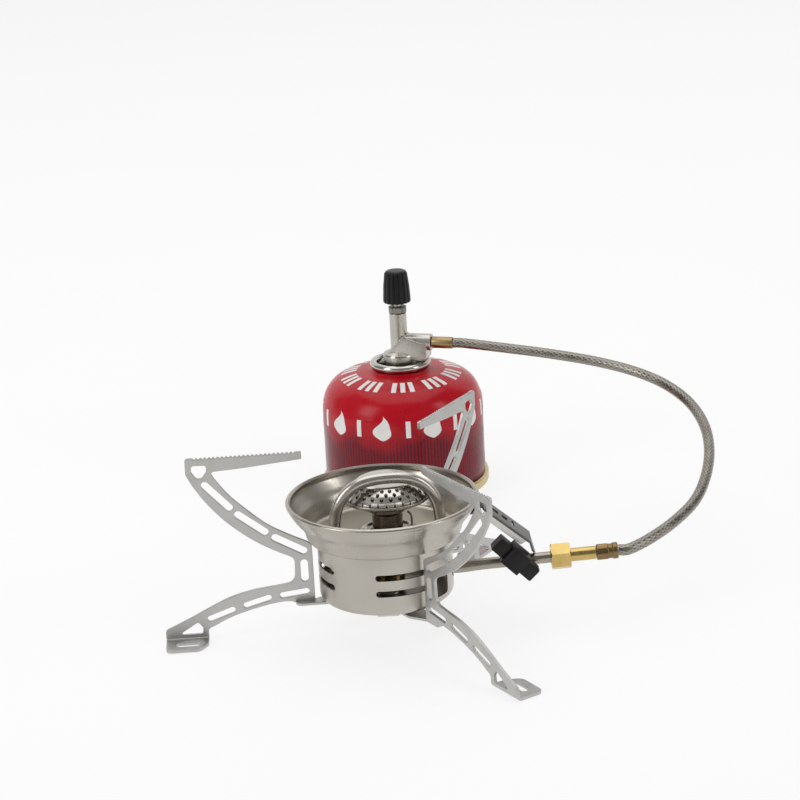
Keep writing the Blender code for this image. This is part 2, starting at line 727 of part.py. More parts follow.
def leg_outline(level):
    """The leg plate's outline as (distance from the burner's axis, height)."""
    elbow = ELBOW_RADIUS
    top = POT_HEIGHT
    foot = FOOT_RADIUS
    spine = SPINE_RADIUS
    strut = elbow - spine
    shin = foot - spine
    teeth = []
    for i in range(TEETH):
        start = elbow - 3.4 - i * TOOTH_PITCH
        teeth.append((start, top, 0))
        teeth.append((start - TOOTH_PITCH / 2, top - TOOTH_DEPTH, 0))
    tip = ARM_TIP_RADIUS
    arm = [
        (tip, top, 0.6),
        (tip, top - 3.6, 0.6),
        (tip + 0.49 * (elbow - tip), top - 6.1, 40),
        (elbow - 11.0, top - 7.1, 1.5),
    ]
    strut_top = [
        (spine + 0.769 * strut, top - 10.2),
        (spine + 0.663 * strut, top - 18.3),
        (spine + 0.532 * strut, top - 25.6),
        (spine + 0.366 * strut, top - 33.7),
        (spine + 0.195 * strut, top - 39.4),
        (spine + 0.040 * strut, top - 43.7),
    ]
    spine_edge = [
        (spine, top - 45.2, 2),
        (spine, level + JOIN_OVERLAP, 0.8),
        (spine + 9.5, level + JOIN_OVERLAP, 2.5),
        (spine + 11.0, 16.4, 2),
    ]
    shin_under = [
        (spine + 0.200 * shin, 16.6),
        (spine + 0.297 * shin, 15.7),
        (spine + 0.440 * shin, 13.3),
        (spine + 0.570 * shin, 10.3),
        (spine + 0.673 * shin, 6.8),
    ]
    foot_edge = [
        (FOOT_INNER_RADIUS, 5.6, 2),
        (FOOT_INNER_RADIUS, JOIN_OVERLAP, 0.5),
        (foot, JOIN_OVERLAP, 0.8),
        (foot, 6.0, 2),
    ]
    shin_top = [
        (spine + 0.949 * shin, 7.6),
        (spine + 0.821 * shin, 11.7),
        (spine + 0.676 * shin, 16.8),
        (spine + 0.546 * shin, 20.8),
        (spine + 0.417 * shin, 23.2),
        (spine + 0.346 * shin, 24.0),
        (spine + 0.233 * shin, 24.9),
    ]
    inside_edge = [(spine + 8.8, 26.0, 4), (spine + 8.3, 37.4, 3)]
    strut_under = [
        (spine + 0.211 * strut, top - 49.9),
        (spine + 0.277 * strut, top - 48.2),
        (spine + 0.413 * strut, top - 44.0),
        (spine + 0.548 * strut, top - 38.8),
        (spine + 0.681 * strut, top - 32.5),
        (spine + 0.780 * strut, top - 26.7),
        (spine + 0.876 * strut, top - 19.9),
        (spine + 0.954 * strut, top - 13.1),
    ]
    rest = arm + curved(strut_top) + spine_edge + curved(shin_under) + foot_edge
    rest += curved(shin_top) + inside_edge + curved(strut_under) + [(elbow + 0.1, top - 7.7, 3)]
    return rounded([(elbow, top, 1.5)] + teeth + rest)


def curved(knots):
    """Corners of an outline along a smooth curve."""
    return [(x, y, 0) for x, y in smooth(knots, 6)]


def leg_holes():
    elbow = ELBOW_RADIUS
    top = POT_HEIGHT
    foot = FOOT_RADIUS
    spine = SPINE_RADIUS
    strut = elbow - spine
    shin = foot - spine
    wide = LEG_SLOT_WIDTH
    narrow = LEG_SLOT_WIDTH - 0.7
    elbow_hole = [
        (elbow - 3.0, top - 3.6, 1),
        (elbow - 2.5, top - 6.4, 1),
        (elbow - 4.6, top - 9.7, 1),
        (elbow - 7.2, top - 9.8, 1),
        (elbow - 9.4, top - 6.8, 1),
        (elbow - 9.4, top - 3.8, 1),
    ]
    foot_hole = [
        (foot - 6.0, 3.4, 0.6),
        (foot - 15.3, 9.2, 1),
        (foot - 17.4, 6.4, 1),
        (foot - 17.1, 3.4, 0.8),
    ]
    return [
        rounded(elbow_hole),
        slot_outline((spine + 0.871 * strut, top - 12.0), (spine + 0.641 * strut, top - 26.0), wide),
        slot_outline((spine + 0.619 * strut, top - 27.4), (spine + 0.357 * strut, top - 38.8), wide),
        slot_outline((spine + 0.328 * strut, top - 40.0), (spine + 0.044 * strut, top - 49.0), wide),
        slot_outline((spine + 4.1, 36.7), (spine + 4.1, 25.8), wide),
        slot_outline((spine + 0.034 * shin, 21.2), (spine + 0.231 * shin, 19.6), narrow),
        slot_outline((spine + 0.287 * shin, 19.3), (spine + 0.474 * shin, 15.7), narrow),
        slot_outline((spine + 0.530 * shin, 14.7), (spine + 0.716 * shin, 10.1), narrow),
        rounded(foot_hole),
    ]


def leg(name):
    level = eye_level(name)
    inside = JOIN_OVERLAP - LEG_SHEET / 2
    body = stand_up(plate("leg_" + name, [leg_outline(level)] + leg_holes(), LEG_SHEET))
    foot = rounded(
        [
            (FOOT_INNER_RADIUS + 0.5, inside, 0.2),
            (FOOT_RADIUS - 0.6, inside, 0.2),
            (FOOT_RADIUS - 0.6, FOOT_WIDTH, 3),
            (FOOT_INNER_RADIUS + 4, FOOT_WIDTH, 4),
            (FOOT_INNER_RADIUS + 0.5, FOOT_WIDTH - 5, 4),
        ]
    )
    middle = FOOT_WIDTH / 2 + 0.8
    hole = slot_outline((FOOT_INNER_RADIUS + 4, middle), (FOOT_RADIUS - 4.5, middle), 4.0)
    join(body, shift(plate("join_foot_" + name, [foot, hole], LEG_SHEET), (0, 0, LEG_SHEET / 2)))
    reach = SPINE_RADIUS + 9.0
    half = ARM_HALF_WIDTH
    arm = rounded(
        [
            (reach, inside, 0.3),
            (reach, half, 3),
            (SPINE_RADIUS - 8, half, 6),
            (EYE_RADIUS * 0.8, half, 0),
            (EYE_RADIUS * 0.45, EYE_RADIUS * 0.9, 3),
            (-EYE_RADIUS * 0.45, EYE_RADIUS * 0.9, 3),
            (-EYE_RADIUS, 0, 4),
            (-EYE_RADIUS * 0.45, -EYE_RADIUS * 0.9, 3),
            (EYE_RADIUS * 0.45, -EYE_RADIUS * 0.9, 3),
            (EYE_RADIUS * 0.8, -half, 0),
            (SPINE_RADIUS - 8, -half, 6),
            (SPINE_RADIUS + 0.4, inside, 0),
        ]
    )
    eye = circle_outline(PIVOT_RADIUS + GAP, sides=20)
    join(body, shift(plate("join_arm_" + name, [arm, eye], EYE_SHEET), (0, 0, level + EYE_SHEET / 2)))
    body.rotation_euler.z = math.radians(LEG_AZIMUTHS[name])
    finish(body, LEG_STEEL)


def leg_pivot():
    top = DRUM_BOTTOM + DRUM_SHEET + GAP
    lowest = eye_level(EYE_ORDER[-1])
    nut_top = lowest - GAP - WASHER_SHEET - GAP
    nut_low = nut_top - 2.6
    profile = [
        (PIVOT_BORE, top + 1.2),
        (EYE_RADIUS - 1.5, top + 1.2),
        (EYE_RADIUS - 1, top + 0.8),
        (EYE_RADIUS - 1, top),
        (PIVOT_RADIUS, top),
        (PIVOT_RADIUS, nut_low - 0.6),
        (PIVOT_BORE, nut_low - 0.6),
    ]
    finish(turned("pivot_sleeve", profile, 28, closed=True), STEEL)
    hole = PIVOT_RADIUS + GAP
    rim = EYE_RADIUS - 0.5
    for name, washer_top in (("top", DRUM_BOTTOM - GAP), ("bottom", lowest - GAP)):
        washer = ring("pivot_washer_" + name, rim, hole, washer_top - WASHER_SHEET, washer_top)
        finish(washer, BRASS)
    outlines = [circle_outline(EYE_RADIUS + 0.2, sides=6), circle_outline(hole, sides=20)]
    nut = plate("pivot_nut", outlines, nut_top - nut_low)
    finish(shift(nut, (0, 0, (nut_top + nut_low) / 2)), STEEL)


# ---- igniter ----


def igniter():
    """Local +Z of these pieces runs along the button's way out, from the body's open face at zero."""
    place = {"at": (IGNITER_FACE[0], IGNITER_Y, IGNITER_FACE[1]), "tilt": IGNITER_TILT}
    half = IGNITER_HALF
    pocket = BUTTON_HALF + GAP
    body = block("igniter_body", (-half, -half, -IGNITER_BODY_LENGTH), (half, half, 0))
    cut(body, block("cut_igniter_pocket", (-pocket, -pocket, -IGNITER_POCKET), (pocket, pocket, 2)))
    set_place(body, place)
    finish(body, BLACK_PLASTIC)

    low = (-BUTTON_HALF, -BUTTON_HALF, -BUTTON_HEAD)
    button = block("igniter_button", low, (BUTTON_HALF, BUTTON_HALF, BUTTON_OUT))
    set_place(button, place)
    finish(button, BLACK_PLASTIC)

    coil = []
    steps = 8 * SPRING_TURNS
    first = -IGNITER_POCKET + GAP + SPRING_WIRE
    last = -BUTTON_HEAD - GAP - SPRING_WIRE
    for k in range(steps + 1):
        coil.append(polar(SPRING_RADIUS, 45 * k, first + (last - first) * k / steps))
    spring = tube("igniter_spring", coil, SPRING_WIRE, 0)
    set_place(spring, place)
    finish(spring, STEEL)


def set_place(obj, place):
    obj.location = Vector(place["at"]) * MM
    obj.rotation_euler = [math.radians(angle) for angle in place["tilt"]]


def igniter_bracket():
    """A sloping web with a bent-down end, a side flange and a tab that meets the bowl."""
    sheet = BRACKET_SHEET
    start = Vector(BRACKET_TOP)
    bend = Vector(BRACKET_BEND)
    along = bend - start
    length = along.length
    fall = math.degrees(math.atan2(-along.y, along.x))
    half = BRACKET_HALF_WIDTH
    squares = []
    for near, far in ((5.6, 8.8), (11.0, 14.2)):
        corners = [(near, -1.0, 0.3), (far, -1.0, 0.3), (far, 2.4, 0.3), (near, 2.4, 0.3)]
        squares.append(rounded(corners, 1))
    slit = slot_outline((17.6, -2.2), (17.6, 4.0), 1.2)
    outline = rounded([(0, -half, 0.8), (length, -half, 0), (length, half, 0), (0, half, 0.8)])
    web = plate("igniter_bracket", [outline] + squares + [slit], sheet)
    corners = [(2, -3.4, 1), (length - 3, -3.4, 1), (length - 1.5, 0.5, 0), (1, 0.5, 0)]
    flange = stand_up(plate("join_side_flange", [rounded(corners)], sheet))
    join(web, shift(flange, (0, -half + sheet / 2 + JOIN_OVERLAP, 0)))
    end_fall = 36.0
    side = half - JOIN_OVERLAP
    corners = [(-0.4, -side, 0), (3.8, -side, 0.5), (BRACKET_DROP, side, 1), (-0.4, side, 0)]
    end = plate("join_end", [rounded(corners)], sheet)
    end.data.transform(Matrix.Rotation(math.radians(end_fall), 4, "Y"))
    end.data.transform(Matrix.Translation((length * MM, 0, 0)))
    join(web, end)
    tab = plate("join_tab", [rounded([(-7.0, -4, 1.2), (0.4, -4, 0), (0.4, 4, 0), (-7.0, 4, 1.2)])], sheet)
    tab.data.transform(Matrix.Rotation(math.radians(-72), 4, "Y"))
    join(web, tab)
    web.location = Vector((start.x, 0, start.y)) * MM
    web.rotation_euler.y = math.radians(fall)
    finish(web, STEEL)


# ---- hose line ----


def along_pipe(distance):
    """A point on the pipe's line, its distance measured out along X."""
    return (distance, 0, pipe_height(distance))


def hose_fittings():
    tilt = (0, 90 - PIPE_RISE, 0)
    hexagon = circle_outline(NUT_FLATS / math.sqrt(3), sides=6)
    bore = circle_outline(TAIL_RADIUS + GAP, sides=20)
    nut = plate("hose_nut", [hexagon, bore], NUT_LENGTH)
    shift(nut, (0, 0, NUT_LENGTH / 2))
    set_place(nut, {"at": along_pipe(NUT_START), "tilt": tilt})
    finish(nut, BRASS)
    tail_start = PIPE_END + 0.5
    tail_at = along_pipe(tail_start)
    tail = ring("hose_tail", TAIL_RADIUS, FITTING_BORE, 0, TAIL_LENGTH, 20, at=tail_at, tilt=tilt)
    finish(tail, BRASS)
    crimp_start = tail_start + TAIL_LENGTH + GAP
    high = CRIMP_LENGTH
    radius = CRIMP_RADIUS
    crimp = [
        (FITTING_BORE, high),
        (radius - 0.6, high),
        (radius, high - 0.6),
        (radius, high - 2.2),
        (radius - 0.4, high - 2.8),
        (radius - 0.4, high - 4.4),
        (radius, high - 5.0),
        (radius, 0.6),
        (radius - 0.6, 0),
        (FITTING_BORE, 0),
    ]
    finish(turned("hose_crimp", crimp, 20, closed=True, at=along_pipe(crimp_start), tilt=tilt), BRONZE)
    return crimp_start + CRIMP_LENGTH + GAP


def port_point(distance):
    x, y, _ = polar(distance, VALVE_ANGLE)
    return (CANISTER_X + x, CANISTER_Y + y, PORT_HEIGHT)


def hose(start):
    finish_at = PORT_REACH + GAP + SLEEVE_LENGTH + GAP
    points = [along_pipe(start), along_pipe(start + 5)]
    points += HOSE_ROUTE
    points += [port_point(finish_at + 6), port_point(finish_at)]
    finish(tube("hose", smooth(points, 10.5), HOSE_RADIUS), BRAID)


# ---- valve ----


def gusset_outline():
    """The flat-sided block under the port, as (distance along the port, height)."""
    clear = CURL_HEIGHT + CURL_TUBE + 0.5
    top = PORT_HEIGHT + PORT_BODY_RADIUS - 0.2
    return rounded(
        [
            (-GUSSET_INSIDE, GUSSET_BOTTOM, 0.5),
            (GUSSET_INSIDE, GUSSET_BOTTOM, 0.5),
            (GUSSET_INSIDE, clear, 0.5),
            (GUSSET_REACH, clear, 1.5),
            (GUSSET_REACH, PORT_HEIGHT, 0),
            (VALVE_RADIUS, top - 1.5, 0),
            (VALVE_RADIUS - 1.0, top, 1),
            (-GUSSET_INSIDE, GUSSET_BOTTOM + 2.0, 1),
        ]
    )


def valve():
    at = (CANISTER_X, CANISTER_Y, 0)
    radius = VALVE_RADIUS
    bore = SPINDLE_RADIUS + GAP
    gland_bore = SPINDLE_RADIUS + 1.1
    socket_bore = BOSS_RADIUS + 0.4
    pin_bore = PIN_RADIUS + 0.4
    roof = SOCKET_ROOF
    outside = [
        (0, VALVE_TOP),
        (radius - 0.4, VALVE_TOP),
        (radius, VALVE_TOP - 0.5),
        (radius, roof + 8),
        (radius + 1.0, roof + 4.5),
        (SOCKET_RADIUS - 1, roof + 1.4),
        (SOCKET_RADIUS, roof),
        (SOCKET_RADIUS, SOCKET_BOTTOM + 0.6),
        (SOCKET_RADIUS - 0.6, SOCKET_BOTTOM),
        (0, SOCKET_BOTTOM),
    ]
    body = turned("valve_body", outside, 20, at=at)
    body.rotation_euler.z = math.radians(VALVE_ANGLE)
    port = turn_to_x(plate("join_port", [circle_outline(PORT_BODY_RADIUS, sides=20)], PORT_REACH))
    join(body, shift(port, (PORT_REACH / 2, 0, PORT_HEIGHT)))
    join(body, stand_up(plate("join_gusset", [gusset_outline()], GUSSET_WIDTH)))
    inside = [
        (0, VALVE_TOP + 1),
        (gland_bore, VALVE_TOP + 1),
        (gland_bore, VALVE_TOP - 6),
        (bore, VALVE_TOP - 6),
        (bore, roof + 4),
        (pin_bore, roof + 4),
        (pin_bore, roof),
        (socket_bore, roof),
        (socket_bore, SOCKET_BOTTOM - 1),
        (0, SOCKET_BOTTOM - 1),
    ]
    cut(body, turned("cut_bore", inside, 20))
    way = turn_to_x(plate("cut_port_bore", [circle_outline(PORT_BORE, sides=10)], PORT_REACH))
    cut(body, shift(way, (PORT_REACH / 2 + 1, 0, PORT_HEIGHT)))
    finish(body, BRASS)

    gland = [
        (bore, GLAND_TOP),
        (radius - 0.3, GLAND_TOP),
        (radius + 0.2, GLAND_TOP - 0.5),
        (radius + 0.2, VALVE_TOP + GAP),
        (bore, VALVE_TOP + GAP),
    ]
    finish(turned("gland_nut", gland, 24, closed=True, at=at), DARK_STEEL)
    finish(o_ring("spindle_o_ring", SPINDLE_RADIUS + 0.55, 0.42, VALVE_TOP - 2.5, at=at), RUBBER)
    seal = BOSS_TOP + 0.95
    finish(o_ring("socket_o_ring", BOSS_RADIUS - 1.2, 0.75, seal, at=at), RUBBER)
    low = BOSS_TOP + 0.4
    pin = [(0, roof + 3.0), (PIN_RADIUS, roof + 3.0), (PIN_RADIUS, low), (0, low)]
    finish(turned("depressor_pin", pin, 12, at=at), BRASS)
    sleeve_tilt = (0, 90, VALVE_ANGLE)
    sleeve = [
        (FITTING_BORE, SLEEVE_LENGTH),
        (SLEEVE_RADIUS - 0.5, SLEEVE_LENGTH),
        (SLEEVE_RADIUS, SLEEVE_LENGTH - 0.6),
        (SLEEVE_RADIUS, 0),
        (FITTING_BORE, 0),
    ]
    sleeve_at = port_point(PORT_REACH + GAP)
    finish(turned("valve_sleeve", sleeve, 20, closed=True, at=sleeve_at, tilt=sleeve_tilt), BRASS)
    spindle_low = PORT_HEIGHT + 0.5
    spindle_top = KNOB_BOTTOM + 9
    shoulder = spindle_low + 2
    point = [(0, spindle_top), (SPINDLE_RADIUS, spindle_top), (SPINDLE_RADIUS, shoulder), (0, spindle_low)]
    finish(turned("valve_spindle", point, 20, at=at), STEEL)
    knob = [
        (0, KNOB_TOP),
        (KNOB_TOP_RADIUS - 0.8, KNOB_TOP),
        (KNOB_TOP_RADIUS, KNOB_TOP - 0.8),
        (KNOB_RADIUS, KNOB_BOTTOM + 2.2),
        (KNOB_RADIUS, KNOB_BOTTOM + 0.6),
        (KNOB_RADIUS - 0.6, KNOB_BOTTOM),
        (SPINDLE_RADIUS + GAP, KNOB_BOTTOM),
        (SPINDLE_RADIUS + GAP, spindle_top + GAP),
        (0, spindle_top + GAP),
    ]
    finish(turned("control_knob", knob, 30, at=at), BLACK_PLASTIC)


# ---- canister ----


def canister():
    at = (CANISTER_X, CANISTER_Y, 0)
    wall = CANISTER_RADIUS
    sheet = CANISTER_SHEET
    top = CANISTER_HEIGHT
    shoulder = top - SHOULDER_HEIGHT
    mouth = CURL_RADIUS - 0.1
    outer = [
        (mouth + 1.0, top),
        (mouth + 2.8, top - 0.04 * shoulder),
        (wall * 0.56, top - 0.09 * shoulder),
        (wall * 0.73, top - 0.19 * shoulder),
        (wall * 0.85, top - 0.32 * shoulder),
        (wall * 0.93, top - 0.5 * shoulder),
        (wall * 0.98, top - 0.74 * shoulder),
        (wall, SHOULDER_HEIGHT),
        (wall, CHIME_HEIGHT + 3.5),
        (wall - 0.5, CHIME_HEIGHT + 1.6),
        (wall - 0.5, CHIME_HEIGHT + 0.3),
    ]
    inner = [(radius - sheet, height - 0.3 * sheet) for radius, height in reversed(outer[1:-1])]
    inner = [(wall - 0.5 - sheet, CHIME_HEIGHT + 0.3)] + inner + [(mouth, top - sheet)]
    finish(turned("canister_shell", outer + inner, ROUND, closed=True, at=at), RED_PAINT)
    chime = CHIME_RADIUS
    base = [
        (0, CHIME_HEIGHT + 5.6),
        (wall * 0.5, CHIME_HEIGHT + 4.4),
        (wall * 0.8, CHIME_HEIGHT + 1.6),
        (wall - 2.4, CHIME_HEIGHT - 0.7),
        (wall - 1.4, CHIME_HEIGHT),
        (chime - 0.9, CHIME_HEIGHT),
        (chime, CHIME_HEIGHT - 0.9),
        (chime, 1.2),
        (chime - 1.2, 0),
        (chime - 2.8, 0),
        (chime - 4.0, 1.2),
        (wall - 2.8, CHIME_HEIGHT - 1.5),
        (wall * 0.79, CHIME_HEIGHT + 1.1),
        (wall * 0.49, CHIME_HEIGHT + 3.9),
        (0, CHIME_HEIGHT + 5.1),
    ]
    finish(turned("canister_base", base, ROUND, at=at), GOLD_LACQUER)

    curl = []
    for k in range(9):
        angle = math.radians(180 - k * 220 / 8)
        curl.append((CURL_RADIUS + CURL_TUBE * math.cos(angle), CURL_HEIGHT + CURL_TUBE * math.sin(angle)))
    wall_in = CURL_RADIUS - CURL_TUBE
    thin = CUP_SHEET
    cup = curl + [
        (wall_in + thin, CURL_HEIGHT - CURL_TUBE - 0.1),
        (wall_in + thin, CUP_FLOOR - thin),
        (BOSS_RADIUS - thin, CUP_FLOOR - thin),
        (BOSS_RADIUS - thin, BOSS_TOP - thin),
        (2.2, BOSS_TOP - thin),
        (2.2, BOSS_TOP),
        (BOSS_RADIUS - 0.4, BOSS_TOP),
        (BOSS_RADIUS, BOSS_TOP - 0.5),
        (BOSS_RADIUS, CUP_FLOOR),
        (wall_in, CUP_FLOOR),
    ]
    finish(turned("mounting_cup", cup, 22, closed=True, at=at), STEEL)
    housing_top = BOSS_TOP - 0.9
    housing = [
        (1.8, housing_top),
        (BOSS_RADIUS - 0.9, housing_top),
        (BOSS_RADIUS - 0.9, CUP_FLOOR - 9),
        (1.8, CUP_FLOOR - 9),
    ]
    finish(turned("canister_valve_housing", housing, 20, closed=True, at=at), BLACK_PLASTIC)
    stem = [(0, housing_top - 0.4), (1.5, housing_top - 0.4), (1.5, CUP_FLOOR - 3), (0, CUP_FLOOR - 3)]
    finish(turned("canister_valve_stem", stem, 14, at=at), BRASS)
    finish(ring("canister_gasket", mouth - GAP, wall_in + 0.9, top - 3.4, top - 1.0, 32, at=at), RUBBER)


def centre_on_base():
    """Moves everything so that the origin is under the middle of the stove, the hose left out."""
    graph = bpy.context.evaluated_depsgraph_get()
    places = []
    for obj in PARTS.objects:
        if obj.type == "EMPTY" or obj.name in LOOSE_PARTS:
            continue
        evaluated = obj.evaluated_get(graph)
        mesh = evaluated.to_mesh()
        places += [evaluated.matrix_world @ v.co for v in mesh.vertices]
        evaluated.to_mesh_clear()
    for axis in (0, 1):
        values = [place[axis] for place in places]
        ROOT.location[axis] = -(min(values) + max(values)) / 2


def main():
    burner_bowl()
    burner_drum()
    burner_head()
    mixing_tube()
    jet_and_block()
    generator_tube()
    igniter_electrode()
    for name in LEG_AZIMUTHS:
        leg(name)
    leg_pivot()
    igniter()
    igniter_bracket()
    hose(hose_fittings())
    valve()
    canister()
    bpy.context.view_layer.update()
    centre_on_base()


main()
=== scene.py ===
"""Looks for the canister stove: fine shapes, materials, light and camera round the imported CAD.

Shapes are built in millimetres in the layout of the CAD source, whose centre line is the burner's axis.
piece() takes them to the row frame in metres. Angles are in degrees, anticlockwise from +X seen from above.
"""

import math

import bmesh
import bpy
from mathutils import Matrix, Vector


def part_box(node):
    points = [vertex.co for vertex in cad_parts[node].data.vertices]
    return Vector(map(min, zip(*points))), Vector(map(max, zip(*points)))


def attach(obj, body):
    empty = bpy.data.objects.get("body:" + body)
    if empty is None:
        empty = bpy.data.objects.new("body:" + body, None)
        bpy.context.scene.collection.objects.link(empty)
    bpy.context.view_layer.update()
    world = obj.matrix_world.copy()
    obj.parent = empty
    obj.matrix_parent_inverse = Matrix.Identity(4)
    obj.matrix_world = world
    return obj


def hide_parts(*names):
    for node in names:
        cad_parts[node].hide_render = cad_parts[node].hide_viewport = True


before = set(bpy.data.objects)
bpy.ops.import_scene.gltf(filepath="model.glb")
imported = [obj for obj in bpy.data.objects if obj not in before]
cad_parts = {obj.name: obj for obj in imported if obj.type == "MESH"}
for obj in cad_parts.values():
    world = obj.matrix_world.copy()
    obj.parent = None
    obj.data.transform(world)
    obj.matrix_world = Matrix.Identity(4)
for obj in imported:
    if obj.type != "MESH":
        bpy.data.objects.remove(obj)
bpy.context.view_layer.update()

MM = 0.001
STEPS = 160
EDGE = 0.2


def ends(node):
    """The lowest and highest corners of a CAD node's box, in millimetres."""
    low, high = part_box(node)
    return low / MM, high / MM


DRUM_LOW, DRUM_HIGH = ends("burner_drum")
BASE_LOW, BASE_HIGH = ends("canister_base")
BURNER = Vector((DRUM_LOW.x + DRUM_HIGH.x, DRUM_LOW.y + DRUM_HIGH.y, 0)) / 2 * MM
CANISTER = tuple(((BASE_LOW + BASE_HIGH) / 2 - BURNER / MM).xy)

# Burner
DRUM_RADIUS = (DRUM_HIGH.x - DRUM_LOW.x) / 2
DRUM_BOTTOM = DRUM_LOW.z
DRUM_TOP = DRUM_HIGH.z
DRUM_SHEET = 0.8
PIVOT_BORE = 5.3
BOWL_FLOOR = 47.5
BOWL_SHEET = 0.7
SHOULDER_RADIUS = DRUM_RADIUS + 4.8
RIM_RADIUS = DRUM_RADIUS + 13.3
RIM_TOP = BOWL_FLOOR + 17.8
BEAD_RADIUS = 13.0
BEAD_HALF_WIDTH = 1.6
BEAD_HEIGHT = 1.1
SLOT_HEIGHT = 2.9
SLOT_LEVELS = (DRUM_BOTTOM + 11.2, DRUM_BOTTOM + 18.9)
SLOT_SPANS = ((144.4, 218.4), (263.9, 301.9), (38.4, 96.4))
WINDOW_SPAN = (313.0, 334.0)
WINDOW_LEVELS = (DRUM_BOTTOM + 4.0, DRUM_BOTTOM + 13.5)
WINDOW_CORNER = 1.8
HEAD_X = 2.0
HEAD_RADIUS = 20.6
LIP_TOP = BOWL_FLOOR + 18.7
DOME_TOP = LIP_TOP + 7.4
HEAD_SHEET = 0.8
STEM_RADIUS = 7.0
COLLAR_RADIUS = STEM_RADIUS + 2.3
HOLE_RINGS = (14.2, 15.8, 17.3)
HOLES_IN_RING = 26
HOLE_RADIUS = 0.85
NOTCHES = 32
NOTCH_HALF_WIDTH = 0.4
TUBE_RADIUS = 2.65
PIPE_RISE = 3.0
PIPE_END = RIM_RADIUS + 35.1
PIPE_HEIGHT = DRUM_BOTTOM + 8.5
HOOP_CENTRE = (HEAD_X, -11.2)
HOOP_ANGLE = 7.5
HOOP_HALF_SPAN = 24.3
HOOP_TOP = 77.5
HOOP_SQUARENESS = 0.78
HOOP_SPRING_LINE = 52.0
JET_HEIGHT = 24.25
JET_BLOCK_RADIUS = 6.6
ELECTRODE = (13.0, -6.5)
CERAMIC_RADIUS = 1.5
WIRE_RADIUS = 0.5

# Legs
LEG_AZIMUTHS = {"left": 182.4, "front": 301.9, "rear": 58.4}
EYE_LEVELS = {"left": 15.5, "front": 14.0, "rear": 12.5}
LEG_SHEET = 1.5
SPINE_RADIUS = DRUM_RADIUS + 2.4
ELBOW_RADIUS = 88.3
ARM_TIP_RADIUS = 35.5
POT_HEIGHT = 89.2
FOOT_RADIUS = 103.4
FOOT_INNER_RADIUS = 83.5
FOOT_WIDTH = 13.5
BEND_RADIUS = 1.75
BEND_START = 2.5
TEETH = 24
TOOTH_PITCH = 1.95
TOOTH_DEPTH = 0.8
WIDE_SLOT = 3.5
NARROW_SLOT = 2.8
SOLE_SLOT = 4.0
EYE_SHEET = 1.2
EYE_RADIUS = 9.0
EYE_ARM_HALF_WIDTH = 5.0

# Hose and fittings
NUT_START = PIPE_END - 3.2
NUT_FLATS = 11.0
NUT_LENGTH = 9.0
TAIL_START = PIPE_END + 0.5
TAIL_LENGTH = 17.0
TAIL_RADIUS = 3.1
FITTING_BORE = 1.2
CRIMP_START = TAIL_START + TAIL_LENGTH + 0.3
CRIMP_LENGTH = 10.0
CRIMP_RADIUS = 3.8
CRIMP_JAWS = 8
CRIMP_DENT = 0.22
HOSE_START = CRIMP_START + CRIMP_LENGTH + 0.3
HOSE_RADIUS = 2.6
HOSE_ROUTE = (
    (123, 7.5, 34), (136, 20, 37), (148, 36, 41), (156, 56, 46), (160.5, 77, 51.5), (161, 98, 57),
    (156.5, 119, 62), (146.5, 137, 66.5), (132, 151, 70), (113, 162, 73), (91, 171, 75.5),
    (66, 180.5, 77.5),
)
CARRIERS = 10
BRAID_PITCH = 16.0
BRAID_DEPTH = 0.16

# Igniter
IGNITER_AT = (RIM_RADIUS + 18.6, -8.6, RIM_TOP - 34.3)
IGNITER_TILT = (0, 135, 0)
IGNITER_HALF = 5.0
POCKET_HALF = 3.9
BUTTON_HALF = 3.6
BUTTON_SPAN = (-3.4, 7.0)
CASE_MOUTH = (-9.0, 0.0)
CASE_MIDDLE = (-10.1, -8.7)
CASE_NECK = (-17.0, -9.2)
BRACKET_TOP = (RIM_RADIUS + 1.3, RIM_TOP - 6.7)
BRACKET_RUN = (21.0, -17.8)
BRACKET_HALF_WIDTH = 7.2
BRACKET_SHEET = 1.0
BRACKET_END_FALL = 36
BRACKET_TAB_RISE = 72

# Valve
VALVE_ANGLE = -17.0
VALVE_TOP = 95.0
COLUMN_RADIUS = 4.6
SPINDLE_BORE = 2.6
GLAND_BORE = 3.4
GLAND_DEPTH = 6
SOCKET_ROOF = 72.5
SOCKET_BOTTOM = 63.0
SOCKET_RADIUS = 9.0
SOCKET_BORE = 5.9
PORT_HEIGHT = 79.0
PORT_REACH = 18.2
PORT_RADIUS = 4.5
PORT_BORE = 1.5
GUSSET_WIDTH = 10.2
GLAND_RADIUS = 4.8
GLAND_BOTTOM = VALVE_TOP + 0.3
GLAND_TOP = VALVE_TOP + 3.6
GLAND_NOTCHES = 12
SLEEVE_START = PORT_REACH + 0.3
SLEEVE_LENGTH = 11.4
SPINDLE_RADIUS = 2.3
SPINDLE_BOTTOM = 79.5
SPINDLE_TOP = 109.4
KNOB_BOTTOM = 100.4
KNOB_TOP = 118.2
KNOB_RADIUS = 7.3
KNOB_TOP_RADIUS = 5.7
KNOB_GROOVES = 16
GROOVE_DEPTH = 0.62

# Canister
CANISTER_RADIUS = 43.2
CHIME_RADIUS = CANISTER_RADIUS + 1.8
CHIME_HEIGHT = 5.5
CANISTER_HEIGHT = 64.9
SHOULDER_START = 43.5
SHELL_SHEET = 0.5
CUP_CURL_RADIUS = 14.4
CUP_CURL_HEIGHT = 67.3
CUP_CURL_SIZE = 2.0
CUP_FLOOR = 60.4
BOSS_RADIUS = 5.5
BOSS_TOP = 70.5
CUP_SHEET = 0.6
PRINT_REPEATS = 10
PRINT_START = 255

# Studio
FLOOR_GLOW = 0.79
SWEEP_START = 1.5
SWEEP_RADIUS = 1.2
WORLD_STRENGTH = 0.35
CAMERA_PLACE = (0.01379, -1.07736, 0.43688)
CAMERA_PITCH = 18.08
CAMERA_ROLL = -3.1
CAMERA_LENS = 105.1


# ---- shapes ----


